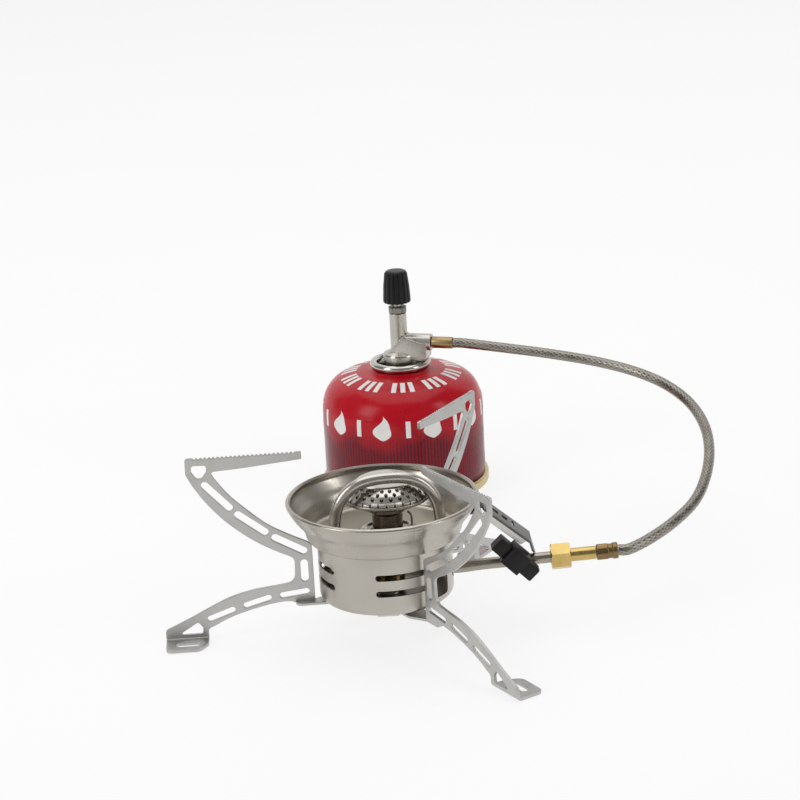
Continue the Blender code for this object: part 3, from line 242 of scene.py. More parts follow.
def polar(radius, angle, height=0.0):
    return (radius * math.cos(math.radians(angle)), radius * math.sin(math.radians(angle)), height)


def mesh_of(shape, name="shape"):
    bmesh.ops.recalc_face_normals(shape, faces=shape.faces)
    mesh = bpy.data.meshes.new(name)
    shape.to_mesh(mesh)
    shape.free()
    return mesh


def lathe(profile, steps=STEPS, closed=True, axis=(0, 0), wave=None, second_from=None):
    """A turned shape from (radius, height) points, which run down its outer side.

    wave(index, angle) is added to the radius. Faces from point second_from on take the second material.
    """
    shape = bmesh.new()
    rings = []
    for index, (radius, height) in enumerate(profile):
        if radius < 1e-6:
            rings.append([shape.verts.new((axis[0], axis[1], height))])
            continue
        ring = []
        for i in range(steps):
            angle = 2 * math.pi * i / steps
            reach = radius + (wave(index, angle) if wave else 0)
            place = (axis[0] + reach * math.cos(angle), axis[1] + reach * math.sin(angle), height)
            ring.append(shape.verts.new(place))
        rings.append(ring)
    pairs = list(zip(rings, rings[1:]))
    if closed:
        pairs.append((rings[-1], rings[0]))
    for index, (upper, lower) in enumerate(pairs):
        for i in range(steps):
            j = (i + 1) % steps
            corners = [upper[i % len(upper)], lower[i % len(lower)]]
            corners += [lower[j % len(lower)], upper[j % len(upper)]]
            face = shape.faces.new(dict.fromkeys(corners))
            if second_from is not None and index >= second_from:
                face.material_index = 1
    return mesh_of(shape)


def rounded(corners, steps=4):
    """The outline through (x, y, radius) corners, each rounded with an arc."""
    points = []
    count = len(corners)
    for i, (x, y, radius) in enumerate(corners):
        here = Vector((x, y))
        before = Vector(corners[i - 1][:2]) - here
        after = Vector(corners[(i + 1) % count][:2]) - here
        half = before.angle(after) / 2
        if radius <= 0 or half > math.radians(89.5):
            points.append((x, y))
            continue
        reach = min(radius / math.tan(half), 0.49 * before.length, 0.49 * after.length)
        radius = reach * math.tan(half)
        centre = here + (before.normalized() + after.normalized()).normalized() * (radius / math.sin(half))
        start = here + before.normalized() * reach - centre
        end = here + after.normalized() * reach - centre
        turn = start.angle_signed(end)
        for k in range(steps + 1):
            spoke = start.copy()
            spoke.rotate(Matrix.Rotation(-turn * k / steps, 2))
            points.append(tuple(centre + spoke))
    return points


def slot_outline(start, end, width, steps=10):
    """A slot with round ends, whose tips lie at start and end."""
    a = Vector(start)
    b = Vector(end)
    along = (b - a).normalized()
    side = Vector((-along.y, along.x)) * width / 2
    a += along * width / 2
    b -= along * width / 2
    points = []
    for centre, first in ((a, side), (b, -side)):
        for k in range(steps + 1):
            spoke = first.copy()
            spoke.rotate(Matrix.Rotation(math.pi * k / steps, 2))
            points.append(tuple(centre + spoke))
    return points


def circle(radius, centre=(0, 0), sides=48):
    spokes = [2 * math.pi * i / sides for i in range(sides)]
    return [(centre[0] + radius * math.cos(a), centre[1] + radius * math.sin(a)) for a in spokes]


def smooth(points, spacing):
    """Points along a smooth curve through the given ones, about spacing apart."""
    knots = [Vector(p) for p in points]
    ends = [2 * knots[0] - knots[1]] + knots + [2 * knots[-1] - knots[-2]]
    path = []
    for a, b, c, d in zip(ends, ends[1:], ends[2:], ends[3:]):
        pieces = max(1, round((c - b).length / spacing))
        for k in range(pieces):
            t = k / pieces
            square = (2 * a - 5 * b + 4 * c - d) * t**2
            cube = (3 * b - a - 3 * c + d) * t**3
            path.append((2 * b + (c - a) * t + square + cube) / 2)
    path.append(knots[-1])
    return path


def plate(loops, thickness, edge=EDGE):
    """A flat outline with its holes, centred on its XY plane, its edges rounded over."""
    curve = bpy.data.curves.new("outline", "CURVE")
    curve.dimensions = "2D"
    curve.fill_mode = "BOTH"
    curve.extrude = thickness / 2 - edge
    curve.bevel_depth = edge
    curve.bevel_resolution = 1
    curve.offset = -edge
    for loop in loops:
        spline = curve.splines.new("POLY")
        spline.points.add(len(loop) - 1)
        for point, (x, y) in zip(spline.points, loop):
            point.co = (x, y, 0, 1)
        spline.use_cyclic_u = True
    guide = bpy.data.objects.new("outline", curve)
    bpy.context.scene.collection.objects.link(guide)
    graph = bpy.context.evaluated_depsgraph_get()
    mesh = bpy.data.meshes.new_from_object(guide.evaluated_get(graph))
    bpy.data.objects.remove(guide)
    shape = bmesh.new()
    shape.from_mesh(mesh)
    bmesh.ops.remove_doubles(shape, verts=shape.verts, dist=1e-4)
    return mesh_of(shape)


def sweep(path, radius, sides=24, relief=None):
    """A tube along a path. relief(distance, angle) is added to its radius and kept as a crevice value."""
    shape = bmesh.new()
    depths = []
    rings = []
    distance = 0.0
    side = None
    last = len(path) - 1
    for i, here in enumerate(path):
        here = Vector(here)
        ahead = (Vector(path[min(i + 1, last)]) - Vector(path[max(i - 1, 0)])).normalized()
        side = ahead.orthogonal() if side is None else side
        side = (side - ahead * side.dot(ahead)).normalized()
        other = ahead.cross(side)
        if i:
            distance += (here - Vector(path[i - 1])).length
        ring = []
        for k in range(sides):
            angle = 2 * math.pi * k / sides
            depth = relief(distance, angle) if relief else 0.0
            spoke = side * math.cos(angle) + other * math.sin(angle)
            ring.append(shape.verts.new(here + spoke * (radius + depth)))
            depths.append(depth)
        rings.append(ring)
    for first, second in zip(rings, rings[1:]):
        for k in range(sides):
            j = (k + 1) % sides
            shape.faces.new([first[k], first[j], second[j], second[k]])
    shape.faces.new(list(reversed(rings[0])))
    shape.faces.new(rings[-1])
    mesh = mesh_of(shape)
    if relief:
        crevice = mesh.attributes.new("crevice", "FLOAT", "POINT")
        crevice.data.foreach_set("value", depths)
    return mesh


def moved(mesh, at=(0, 0, 0), tilt=(0, 0, 0)):
    x, y, z = (Matrix.Rotation(math.radians(angle), 4, axis) for angle, axis in zip(tilt, "XYZ"))
    mesh.transform(Matrix.Translation(at) @ z @ y @ x)
    return mesh


def block(outline, span, edge):
    """An upright block with rounded edges over an outline, from one height to another."""
    low, high = span
    return moved(plate([rounded(outline)], high - low, edge), (0, 0, (low + high) / 2))


def square(half, radius):
    """The corners of a square outline for rounded() or block()."""
    return [(half, half, radius), (-half, half, radius), (-half, -half, radius), (half, -half, radius)]


def drill(radius, place, length=6, sides=48):
    """An upright round cutter centred on a place."""
    return moved(plate([circle(radius, sides=sides)], length, 0), place)


def stand_up(mesh):
    """Turns a plate from the XY plane into the XZ plane."""
    return moved(mesh, tilt=(90, 0, 0))


def together(*meshes):
    """Several closed shapes as one mesh."""
    shape = bmesh.new()
    for mesh in meshes:
        shape.from_mesh(mesh)
    mesh = bpy.data.meshes.new("together")
    shape.to_mesh(mesh)
    shape.free()
    return mesh


def boolean(mesh, others, operation="DIFFERENCE"):
    """The mesh with the other shapes cut from it, joined to it or kept in common."""
    owner = bpy.data.objects.new("owner", mesh)
    bpy.context.scene.collection.objects.link(owner)
    tools = []
    for other in others:
        helper = bpy.data.objects.new("tool", other)
        bpy.context.scene.collection.objects.link(helper)
        change = owner.modifiers.new("change", "BOOLEAN")
        change.operation = operation
        change.object = helper
        change.solver = "EXACT"
        tools.append(helper)
    graph = bpy.context.evaluated_depsgraph_get()
    result = bpy.data.meshes.new_from_object(owner.evaluated_get(graph))
    for helper in tools + [owner]:
        bpy.data.objects.remove(helper)
    return result


def piece(name, mesh, materials, body, replaces=(), sharp=28):
    """Files a mesh as a visible piece: its place, materials, body and material slot."""
    mesh.transform(Matrix.Translation(BURNER) @ Matrix.Scale(MM, 4))
    mesh.name = name
    mesh.materials.clear()
    for material in materials if isinstance(materials, (list, tuple)) else (materials,):
        mesh.materials.append(material)
    mesh.shade_smooth()
    mesh.set_sharp_from_angle(angle=math.radians(sharp))
    obj = bpy.data.objects.new(name, mesh)
    bpy.context.scene.collection.objects.link(obj)
    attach(obj, body)
    if replaces:
        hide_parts(*replaces)
    return obj


# ---- materials ----


class Look:
    """A procedural material under construction."""

    def __init__(self, name, **sockets):
        self.material = bpy.data.materials.new(name)
        self.material.use_nodes = True
        self.nodes = self.material.node_tree.nodes
        self.links = self.material.node_tree.links
        self.shader = next(node for node in self.nodes if node.type == "BSDF_PRINCIPLED")
        for key, value in sockets.items():
            self.feed(self.shader, key.replace("_", " "), value)
        self.place = self.add("TexCoord").outputs["Object"]
        self.normal = None

    def add(self, kind, inputs=None, **settings):
        node = self.nodes.new("ShaderNode" + kind)
        for key, value in settings.items():
            setattr(node, key, value)
        for key, value in (inputs or {}).items():
            self.feed(node, key, value)
        return node

    def feed(self, node, key, value):
        if isinstance(value, bpy.types.NodeSocket):
            self.links.new(value, node.inputs[key])
        else:
            node.inputs[key].default_value = value

    def math(self, operation, a, b=0.0, c=0.0):
        return self.add("Math", {0: a, 1: b, 2: c}, operation=operation).outputs[0]

    def noise(self, scale, place=None, detail=3.0, roughness=0.5):
        inputs = {"Vector": place or self.place, "Scale": scale, "Detail": detail, "Roughness": roughness}
        return self.add("TexNoise", inputs).outputs[0]

    def scaled(self, scale, location=(0, 0, 0)):
        inputs = {"Vector": self.place, "Scale": scale, "Location": location}
        return self.add("Mapping", inputs).outputs[0]

    def turned(self, axis, around):
        """Coordinates that change slowly round an axis and fast across it, as tool marks do."""
        centre = BURNER / MM + Vector((*axis, 0))
        moved_place = self.scaled((1, 1, 1), tuple(-centre * MM))
        x, y, z = self.add("SeparateXYZ", {0: moved_place}).outputs
        flat = self.add("CombineXYZ", {0: x, 1: y}).outputs[0]
        length = self.add("VectorMath", {0: flat}, operation="LENGTH").outputs["Value"]
        heading = self.add("VectorMath", {0: flat}, operation="NORMALIZE").outputs[0]
        heading = self.add("VectorMath", {0: heading, "Scale": around * MM}, operation="SCALE").outputs[0]
        height = self.math("MULTIPLY_ADD", length, 1.31, z)
        lift = self.add("CombineXYZ", {2: height}).outputs[0]
        return self.add("VectorMath", {0: heading, 1: lift}, operation="ADD").outputs[0]

    def spread(self, value, low, high, from_low=0.35, from_high=0.65):
        inputs = {"Value": value, "From Min": from_low, "From Max": from_high, "To Min": low, "To Max": high}
        return self.add("MapRange", inputs).outputs[0]

    def mix(self, factor, a, b):
        node = self.add("Mix", data_type="RGBA")
        self.feed(node, 0, factor)
        self.feed(node, 6, a)
        self.feed(node, 7, b)
        return node.outputs[2]

    def colour(self, value):
        self.feed(self.shader, "Base Color", value)

    def rough(self, value):
        self.feed(self.shader, "Roughness", value)

    def bump(self, height, distance, strength=1.0):
        """Adds relief of that depth in millimetres."""
        inputs = {"Height": height, "Distance": distance * MM, "Strength": strength}
        node = self.add("Bump", inputs)
        if self.normal is not None:
            self.links.new(self.normal, node.inputs["Normal"])
        self.normal = node.outputs[0]
        self.links.new(self.normal, self.shader.inputs["Normal"])


# How far the edge of the painted low-down shade wavers, in millimetres.
SHADE_WAVER = 3.0
HATCH_LINES = 150


def tint(r, g, b):
    return (r, g, b, 1.0)


def turned_metal(name, light, dark, roughness, axis, marks):
    """Turned metal, with tool marks round an axis and smudges in its polish."""
    look = Look(name, Metallic=1.0)
    low, high = roughness
    lines = look.noise(1000.0 / 0.45, look.turned(axis, 14.0), detail=4.0, roughness=0.65)
    smudge = look.noise(70.0, detail=4.0, roughness=0.6)
    broad = look.noise(70.0 / 3, detail=2.0)
    look.colour(look.mix(look.spread(broad, 0, 1), tint(*dark), tint(*light)))
    base = look.spread(smudge, low, high)
    look.rough(look.math("MULTIPLY_ADD", lines, (high - low) * 0.6, base))
    look.bump(lines, marks)
    look.bump(broad, 0.05, 0.35)
    return look.material


def sheet_metal(name, light, dark, roughness, grain):
    """Tumbled or rolled sheet: fine grain, faint dents, cloudy polish."""
    look = Look(name, Metallic=1.0)
    low, high = roughness
    fine = look.noise(1000.0 / 0.35, detail=3.0, roughness=0.7)
    smudge = look.noise(90.0, detail=5.0, roughness=0.62)
    broad = look.noise(90.0 / 3.5, detail=2.0)
    look.colour(look.mix(look.spread(smudge, 0, 1), tint(*dark), tint(*light)))
    base = look.spread(smudge, low, high)
    look.rough(look.math("MULTIPLY_ADD", fine, (high - low) * 0.5, base))
    look.bump(fine, grain)
    look.bump(broad, 0.08, 0.3)
    return look.material


def low_shaded_metal(name, lit_tone, shaded_tone, roughness, heights, axis):
    """Steel that runs from a lit tone high up to a darker tone low down: painted shade where it sits deep in
    the bowl and the drum.
    """
    look = Look(name, Metallic=1.0)
    height = look.add("SeparateXYZ", {0: look.place}).outputs[2]
    wobble = look.math("MULTIPLY_ADD", look.noise(160.0, detail=4.0), 2 * SHADE_WAVER * MM, height)
    low_z, high_z = (level * MM + SHADE_WAVER * MM for level in heights)
    shade_blend = look.spread(wobble, 0, 1, low_z, high_z)
    # Painted shade: the colour darkens towards the bottom, where the cup sits deep in the bowl and the tube
    # runs low through the drum.
    look.colour(look.mix(shade_blend, tint(*shaded_tone), tint(*lit_tone)))
    lines = look.noise(1000.0 / 0.5, look.turned(axis, 14.0), detail=4.0)
    smudge = look.noise(120.0, detail=4.0)
    look.rough(look.math("MULTIPLY_ADD", lines, 0.06, look.spread(smudge, *roughness)))
    look.bump(lines, 0.003)
    return look.material


def plastic(name, light, dark, roughness, grain, size):
    """A smooth surface with a fine grain and handling marks."""
    look = Look(name, Specular_IOR_Level=0.3)
    fine = look.noise(1000.0 / size, detail=3.0, roughness=0.6)
    smudge = look.noise(140.0, detail=4.0)
    look.colour(look.mix(look.spread(smudge, 0, 1), tint(*dark), tint(*light)))
    look.rough(look.spread(smudge, *roughness))
    look.bump(fine, grain)
    return look.material


def red_paint():
    """Glossy red print whose lower part is darker, with fine upright lines up to an uneven edge."""
    look = Look("canister_paint", Coat_Weight=0.05, Coat_Roughness=0.10, Specular_IOR_Level=0.22)
    centre = BURNER / MM + Vector((*CANISTER, 0))
    x, y, z = look.add("SeparateXYZ", {0: look.scaled((1, 1, 1), tuple(-centre * MM))}).outputs
    angle = look.math("ARCTAN2", y, x)
    hatch = look.math("SINE", look.math("MULTIPLY", angle, HATCH_LINES))
    edge = look.math("MULTIPLY_ADD", look.noise(38.0, detail=3.0, roughness=0.55), 0.030, z)
    shade = look.spread(edge, 1, 0, 0.0465, 0.0600)
    lines = look.spread(hatch, 0.62, 1.0, -0.6, 0.6)
    factor = look.math("MULTIPLY", shade, lines)
    cloud = look.noise(30.0, detail=2.0)
    bright = look.mix(look.spread(cloud, 0, 1), tint(0.45, 0.003, 0.012), tint(0.52, 0.005, 0.016))
    look.colour(look.mix(factor, bright, tint(0.085, 0.002, 0.010)))
    look.rough(look.spread(look.noise(90.0, detail=4.0), 0.20, 0.34))
    look.bump(look.noise(700.0, detail=2.0), 0.010, 0.5)
    return look.material


def braided_steel():
    """Bright wires, with painted shade darkening the crevices between them."""
    look = Look("hose_braid", Metallic=1.0)
    depth = look.add("Attribute", attribute_name="crevice").outputs["Fac"]
    smudge = look.noise(150.0, detail=4.0)
    wire = look.mix(look.spread(smudge, 0, 1), tint(0.44, 0.41, 0.36), tint(0.60, 0.57, 0.51))
    # Painted shade: the colour goes dark where the braid's relief sinks into a crevice.
    look.colour(look.mix(look.spread(depth, 0, 1, -0.08, 0.10), tint(0.10, 0.09, 0.075), wire))
    look.rough(look.spread(smudge, 0.24, 0.40))
    look.bump(look.noise(3000.0, detail=2.0), 0.02, 0.6)
    return look.material


# Sheet metals: material name, light tone, dark tone, range of roughness, depth of grain
SHEET_METALS = {
    "leg": ("leg_tumbled", (0.56, 0.555, 0.54), (0.47, 0.465, 0.45), (0.34, 0.48), 0.006),
    # The bracket row is painted shade: its web lies under the bowl's rim, while its flange of the same steel
    # takes plain_steel.
    "bracket": ("bracket_sheet", (0.15, 0.145, 0.135), (0.10, 0.095, 0.09), (0.26, 0.38), 0.006),
    "steel": ("plain_steel", (0.66, 0.645, 0.615), (0.56, 0.545, 0.515), (0.22, 0.36), 0.006),
    "brass": ("brass_turned", (0.66, 0.50, 0.20), (0.52, 0.37, 0.125), (0.18, 0.32), 0.004),
    "bronze": ("crimp_bronze", (0.30, 0.205, 0.095), (0.19, 0.125, 0.055), (0.24, 0.38), 0.006),
    "sleeve": ("sleeve_bronze", (0.42, 0.31, 0.155), (0.29, 0.20, 0.09), (0.20, 0.34), 0.005),
    "nickel": ("valve_nickel", (0.56, 0.535, 0.49), (0.46, 0.435, 0.39), (0.18, 0.30), 0.004),
    "gland": ("gland_dark", (0.30, 0.285, 0.26), (0.20, 0.19, 0.17), (0.24, 0.38), 0.006),
}

# Turned metals: material name, light tone, dark tone, range of roughness, axis, depth of tool marks
TURNED_METALS = {
    "bowl_out": ("bowl_satin", (0.50, 0.47, 0.42), (0.42, 0.39, 0.345), (0.22, 0.34), (0, 0), 0.004),
    "bowl_in": ("bowl_polished", (0.50, 0.475, 0.43), (0.42, 0.395, 0.355), (0.09, 0.17), (0, 0), 0.002),
    "drum": ("drum_satin", (0.51, 0.48, 0.43), (0.43, 0.40, 0.355), (0.23, 0.35), (0, 0), 0.004),
    "spreader": (
        "spreader_polished", (0.60, 0.58, 0.54), (0.50, 0.48, 0.44), (0.10, 0.20), (HEAD_X, 0), 0.003,
    ),
    "gold": ("chime_lacquer", (0.62, 0.49, 0.25), (0.52, 0.40, 0.19), (0.20, 0.32), CANISTER, 0.003),
    "chrome": ("cup_chrome", (0.58, 0.57, 0.54), (0.48, 0.47, 0.44), (0.12, 0.22), CANISTER, 0.002),
}

# Metals with painted shade low down: material name, lit tone, painted shade tone, range of roughness, heights
# over which the painted shade fades out, axis
LOW_SHADED_METALS = {
    # Both darken lower down as painted shade: the cup deep in the bowl, the tube low in the drum.
    "cup": ("cup_heated", (0.42, 0.39, 0.35), (0.15, 0.125, 0.105), (0.16, 0.28), (56.0, 66.5), (HEAD_X, 0)),
    "tube": ("tube_satin", (0.55, 0.52, 0.47), (0.36, 0.325, 0.275), (0.20, 0.32), (44.0, 66.0), (0, 0)),
}

# Plastics, rubber, glaze and print: material name, light tone, dark tone, roughness, depth and size of grain
SMOOTH_LOOKS = {
    "knob": ("knob_plastic", (0.007, 0.007, 0.007), (0.004, 0.004, 0.004), (0.34, 0.46), 0.02, 0.5),
    "plastic": ("igniter_plastic", (0.009, 0.007, 0.007), (0.005, 0.004, 0.004), (0.34, 0.46), 0.02, 0.5),
    "rubber": ("seal_rubber", (0.025, 0.025, 0.025), (0.016, 0.016, 0.016), (0.55, 0.75), 0.03, 0.5),
    "ceramic": ("electrode_glaze", (0.86, 0.85, 0.81), (0.78, 0.76, 0.71), (0.18, 0.32), 0.01, 1.2),
    "print": ("white_print", (0.86, 0.85, 0.83), (0.80, 0.79, 0.77), (0.22, 0.34), 0.01, 1.0),
}


def materials():
    """Every material, under the key that the pieces ask for."""
    made = {"paint": red_paint(), "braid": braided_steel()}
    for maker, rows in (
        (sheet_metal, SHEET_METALS), (turned_metal, TURNED_METALS), (low_shaded_metal, LOW_SHADED_METALS),
        (plastic, SMOOTH_LOOKS),
    ):
        for key, values in rows.items():
            made[key] = maker(*values)
    return made


# ---- burner ----


def burner_bowl(looks):
    shoulder = SHOULDER_RADIUS
    floor = BOWL_FLOOR
    rim = RIM_RADIUS
    top = RIM_TOP
    sheet = BOWL_SHEET
    slope = (rim - shoulder) / 8.5
    outer = smooth(
        [
            (rim - 1.5, top), (rim - 0.5, top - 0.3), (rim, top - 1.1), (rim - 0.3, top - 2.0),
            (rim - 0.9, top - 2.6), (rim - 1.2, top - 3.8), (shoulder + 4.9 * slope, top - 7.6),
            (shoulder + 2.5 * slope, top - 10.6), (shoulder + 0.8 * slope, top - 13.6),
            (shoulder, floor + 1.6), (shoulder - 0.9, floor), (shoulder - 2.6, floor - sheet),
        ],
        0.5,
    )
    base = [(STEM_RADIUS + 0.5, floor - sheet)]
    inner = smooth(
        [
            (STEM_RADIUS + 0.5, floor), (shoulder - 6.0, floor), (shoulder - 3.0, floor + 0.1),
            (shoulder - 1.4, floor + 0.9), (shoulder - sheet, floor + 2.6),
            (shoulder + 0.8 * slope - sheet, top - 13.4), (shoulder + 2.5 * slope - sheet, top - 10.2),
            (shoulder + 4.9 * slope - sheet, top - 7.2), (rim - 2.0, top - 3.4), (rim - 2.2, top - 0.8),
        ],
        0.5,
    )
    profile = [tuple(p) for p in outer] + base + [tuple(p) for p in inner]
    bowl = lathe(profile, second_from=len(outer))
    cutters = [drill(STEM_RADIUS + 0.6, (HEAD_X, 0, floor))]
    cutters += [drill(TUBE_RADIUS + 0.5, (*hoop_foot(side), floor)) for side in (1, -1)]
    cutters.append(drill(CERAMIC_RADIUS + 0.5, (*ELECTRODE, floor), sides=32))
    bowl = boolean(bowl, cutters)
    both = (looks["bowl_out"], looks["bowl_in"])
    piece("bowl", bowl, both, "burner_and_valve", ("burner_bowl",), 40)


def floor_bead(looks):
    """The pressed ring in the bowl's floor, round the head's stem."""
    floor = BOWL_FLOOR
    middle = BEAD_RADIUS
    half = BEAD_HALF_WIDTH
    crown = [
        (middle + half, floor), (middle + half / 2, floor + 0.7), (middle, floor + BEAD_HEIGHT),
        (middle - half / 2, floor + 0.7), (middle - half, floor),
    ]
    bead = [tuple(p) for p in smooth(crown, 0.25)]
    bead += [(middle - half, floor - 0.3), (middle + half, floor - 0.3)]
    bead = lathe(bead, 96, axis=(HEAD_X, 0))
    piece("floor_bead", bead, looks["bowl_in"], "burner_and_valve")


def strip_cutter(columns):
    """A cutter through the drum's wall from (angle, low, high) columns."""
    shape = bmesh.new()
    rings = []
    for angle, low, high in columns:
        corners = [polar(DRUM_RADIUS - 3, angle, low), polar(DRUM_RADIUS + 3, angle, low)]
        corners += [polar(DRUM_RADIUS + 3, angle, high), polar(DRUM_RADIUS - 3, angle, high)]
        rings.append([shape.verts.new(corner) for corner in corners])
    for first, second in zip(rings, rings[1:]):
        for k in range(4):
            j = (k + 1) % 4
            shape.faces.new([first[k], first[j], second[j], second[k]])
    shape.faces.new(rings[0])
    shape.faces.new(list(reversed(rings[-1])))
    return mesh_of(shape)


def opening(start, end, low, high, corner):
    """A cutter for an opening with rounded corners in the drum's wall, between two angles."""
    per_mm = math.degrees(1 / DRUM_RADIUS)
    corner_columns = []
    for k in range(9):
        offset = corner * (1 - math.cos(math.pi / 2 * k / 8))
        inset = corner - math.sqrt(max(0, corner**2 - (corner - offset) ** 2)) - 0.02
        corner_columns.append((offset * per_mm, inset))
    first = start + corner * per_mm
    last = end - corner * per_mm
    steps = max(2, round((end - start) / 2.25))
    columns = [(start + offset, low + inset, high - inset) for offset, inset in corner_columns]
    for k in range(1, steps):
        columns.append((first + (last - first) * k / steps, low, high))
    for offset, inset in reversed(corner_columns):
        columns.append((end - offset, low + inset, high - inset))
    return strip_cutter(columns)


def burner_drum(looks):
    sheet = DRUM_SHEET
    profile = rounded(
        [
            (DRUM_RADIUS, DRUM_TOP, 0.2), (DRUM_RADIUS, DRUM_BOTTOM, 3.0),
            (PIVOT_BORE, DRUM_BOTTOM, 0.2), (PIVOT_BORE, DRUM_BOTTOM + sheet, 0.2),
            (DRUM_RADIUS - sheet, DRUM_BOTTOM + sheet, 2.2), (DRUM_RADIUS - sheet, DRUM_TOP, 0.2),
        ],
        6,
    )
    drum = lathe(profile)
    half = SLOT_HEIGHT / 2
    cutters = []
    tip = math.degrees(half / DRUM_RADIUS)
    for start, end in SLOT_SPANS:
        for level in SLOT_LEVELS:
            cutters.append(opening(start - tip, end + tip, level - half, level + half, half - 0.03))
    cutters.append(opening(*WINDOW_SPAN, *WINDOW_LEVELS, WINDOW_CORNER))
    way = moved(plate([circle(TUBE_RADIUS + 1.8)], 10, 0), tilt=(0, 90, 0))
    cutters.append(moved(way, (DRUM_RADIUS, -2.4, pipe_height(DRUM_RADIUS) + 1.2)))
    drum = boolean(drum, cutters)
    piece("drum", drum, looks["drum"], "burner_and_valve", ("burner_drum",), 30)


def burner_head(looks):
    lip = HEAD_RADIUS
    stem = STEM_RADIUS
    collar = COLLAR_RADIUS
    seat = lip - 0.8
    cup = rounded(
        [
            (lip, LIP_TOP, 0.3), (lip, LIP_TOP - 1.0, 0.5), (lip - 1.2, LIP_TOP - 2.0, 1.5),
            (collar + 2.7, LIP_TOP - 3.8, 2.5), (collar, LIP_TOP - 5.0, 0.5),
            (collar, LIP_TOP - 7.3, 0.5), (stem + 0.6, LIP_TOP - 8.0, 0.5), (stem, LIP_TOP - 9.2, 1),
            (stem, BOWL_FLOOR - 6.5, 0.2), (stem - HEAD_SHEET, BOWL_FLOOR - 6.5, 0.2),
            (stem - HEAD_SHEET, LIP_TOP - 8.6, 0.5), (collar - 0.9, LIP_TOP - 4.4, 1),
            (collar + 2.7, LIP_TOP - 3.0, 2), (seat - 1.2, LIP_TOP - 1.2, 1),
            (seat, LIP_TOP - 0.6, 0.3), (seat, LIP_TOP, 0.2),
        ]
    )
    cup = lathe(cup, 128, axis=(HEAD_X, 0))
    piece("head_cup", cup, looks["cup"], "burner_and_valve", ("burner_cup",))


def flame_spreader(looks):
    """A raised disc with a sloping skirt, which has rings of holes and a notched edge."""
    edge = HEAD_RADIUS - HEAD_SHEET - 0.3
    drop = DOME_TOP - LIP_TOP
    dome = rounded(
        [
            (edge, LIP_TOP, 0), (edge, LIP_TOP + 0.8, 0.3), (edge * 0.95, DOME_TOP - 0.77 * drop, 1.5),
            (edge * 0.84, DOME_TOP - 0.45 * drop, 8), (edge * 0.68, DOME_TOP - 0.10 * drop, 0.8),
            (edge * 0.62, DOME_TOP - 0.04 * drop, 2), (edge * 0.3, DOME_TOP - 0.01 * drop, 20),
            (0, DOME_TOP, 0),
        ]
    )
    under = rounded(
        [
            (0, DOME_TOP - HEAD_SHEET, 0), (edge * 0.6, DOME_TOP - 0.04 * drop - HEAD_SHEET, 1),
            (edge * 0.655, DOME_TOP - 0.12 * drop - HEAD_SHEET, 1),
            (edge * 0.81, DOME_TOP - 0.55 * drop, 6), (edge - 0.9, LIP_TOP, 0),
        ]
    )
    profile = list(reversed(dome)) + list(reversed(under))
    spreader = lathe(profile, 132, closed=False, axis=(HEAD_X, 0))
    holes = []
    for row, radius in enumerate(HOLE_RINGS):
        for i in range(HOLES_IN_RING):
            x, y, _ = polar(radius, 360 * (i + 0.5 * (row % 2)) / HOLES_IN_RING)
            holes.append(circle(HOLE_RADIUS, (x, y), 14))
    half = NOTCH_HALF_WIDTH
    near = edge - 1.1
    far = edge + 1.0
    for i in range(NOTCHES):
        turn = Matrix.Rotation(-2 * math.pi * i / NOTCHES, 2)
        notch = ((near, -half), (far, -half), (far, half), (near, half))
        holes.append([tuple(turn @ Vector(corner)) for corner in notch])
    cutter = moved(plate(holes, 12, 0), (HEAD_X, 0, LIP_TOP + 2))
    spreader = boolean(spreader, [cutter])
    piece("spreader", spreader, looks["spreader"], "burner_and_valve", ("flame_spreader",))


def pipe_height(x):
    return PIPE_HEIGHT + x * math.tan(math.radians(PIPE_RISE))


def hoop_foot(side):
    x, y, _ = polar(HOOP_HALF_SPAN * side, HOOP_ANGLE)
    return HOOP_CENTRE[0] + x, HOOP_CENTRE[1] + y


def generator_tube(looks):
    right = hoop_foot(1)
    left = hoop_foot(-1)
    rise = HOOP_TOP - HOOP_SPRING_LINE
    hoop = []
    steps = 12
    for k in range(steps + 1):
        angle = math.pi * k / steps
        across = HOOP_HALF_SPAN * math.copysign(abs(math.cos(angle)) ** HOOP_SQUARENESS, math.cos(angle))
        x, y, _ = polar(across, HOOP_ANGLE)
        height = HOOP_SPRING_LINE + rise * math.sin(angle) ** HOOP_SQUARENESS
        hoop.append((HOOP_CENTRE[0] + x, HOOP_CENTRE[1] + y, height))
    wall = pipe_height(DRUM_RADIUS)
    points = [
        (PIPE_END, 0, pipe_height(PIPE_END)), (60, 0, pipe_height(60)), (45, 0, pipe_height(45)),
        (DRUM_RADIUS + 4, -0.4, wall), (DRUM_RADIUS - 0.6, -1.4, wall + 0.5),
        (right[0] + 1.0, right[1] + 3.4, wall + 3.2), (right[0], right[1] + 0.8, wall + 7.4),
        (*right, BOWL_FLOOR - 6),
    ]
    points += hoop
    points += [
        (*left, BOWL_FLOOR - 6), (left[0], left[1], JET_HEIGHT + 7),
        (left[0] + 3, left[1] + 3, JET_HEIGHT + 1.6), (left[0] + 9, -2.5, JET_HEIGHT),
        (HEAD_X - JET_BLOCK_RADIUS - 3, 0, JET_HEIGHT),
        (HEAD_X - JET_BLOCK_RADIUS + 2.4, 0, JET_HEIGHT),
    ]
    tube = sweep(smooth(points, 1.0), TUBE_RADIUS, 32)
    piece("gas_tube", tube, looks["tube"], "burner_and_valve", ("generator_tube",))


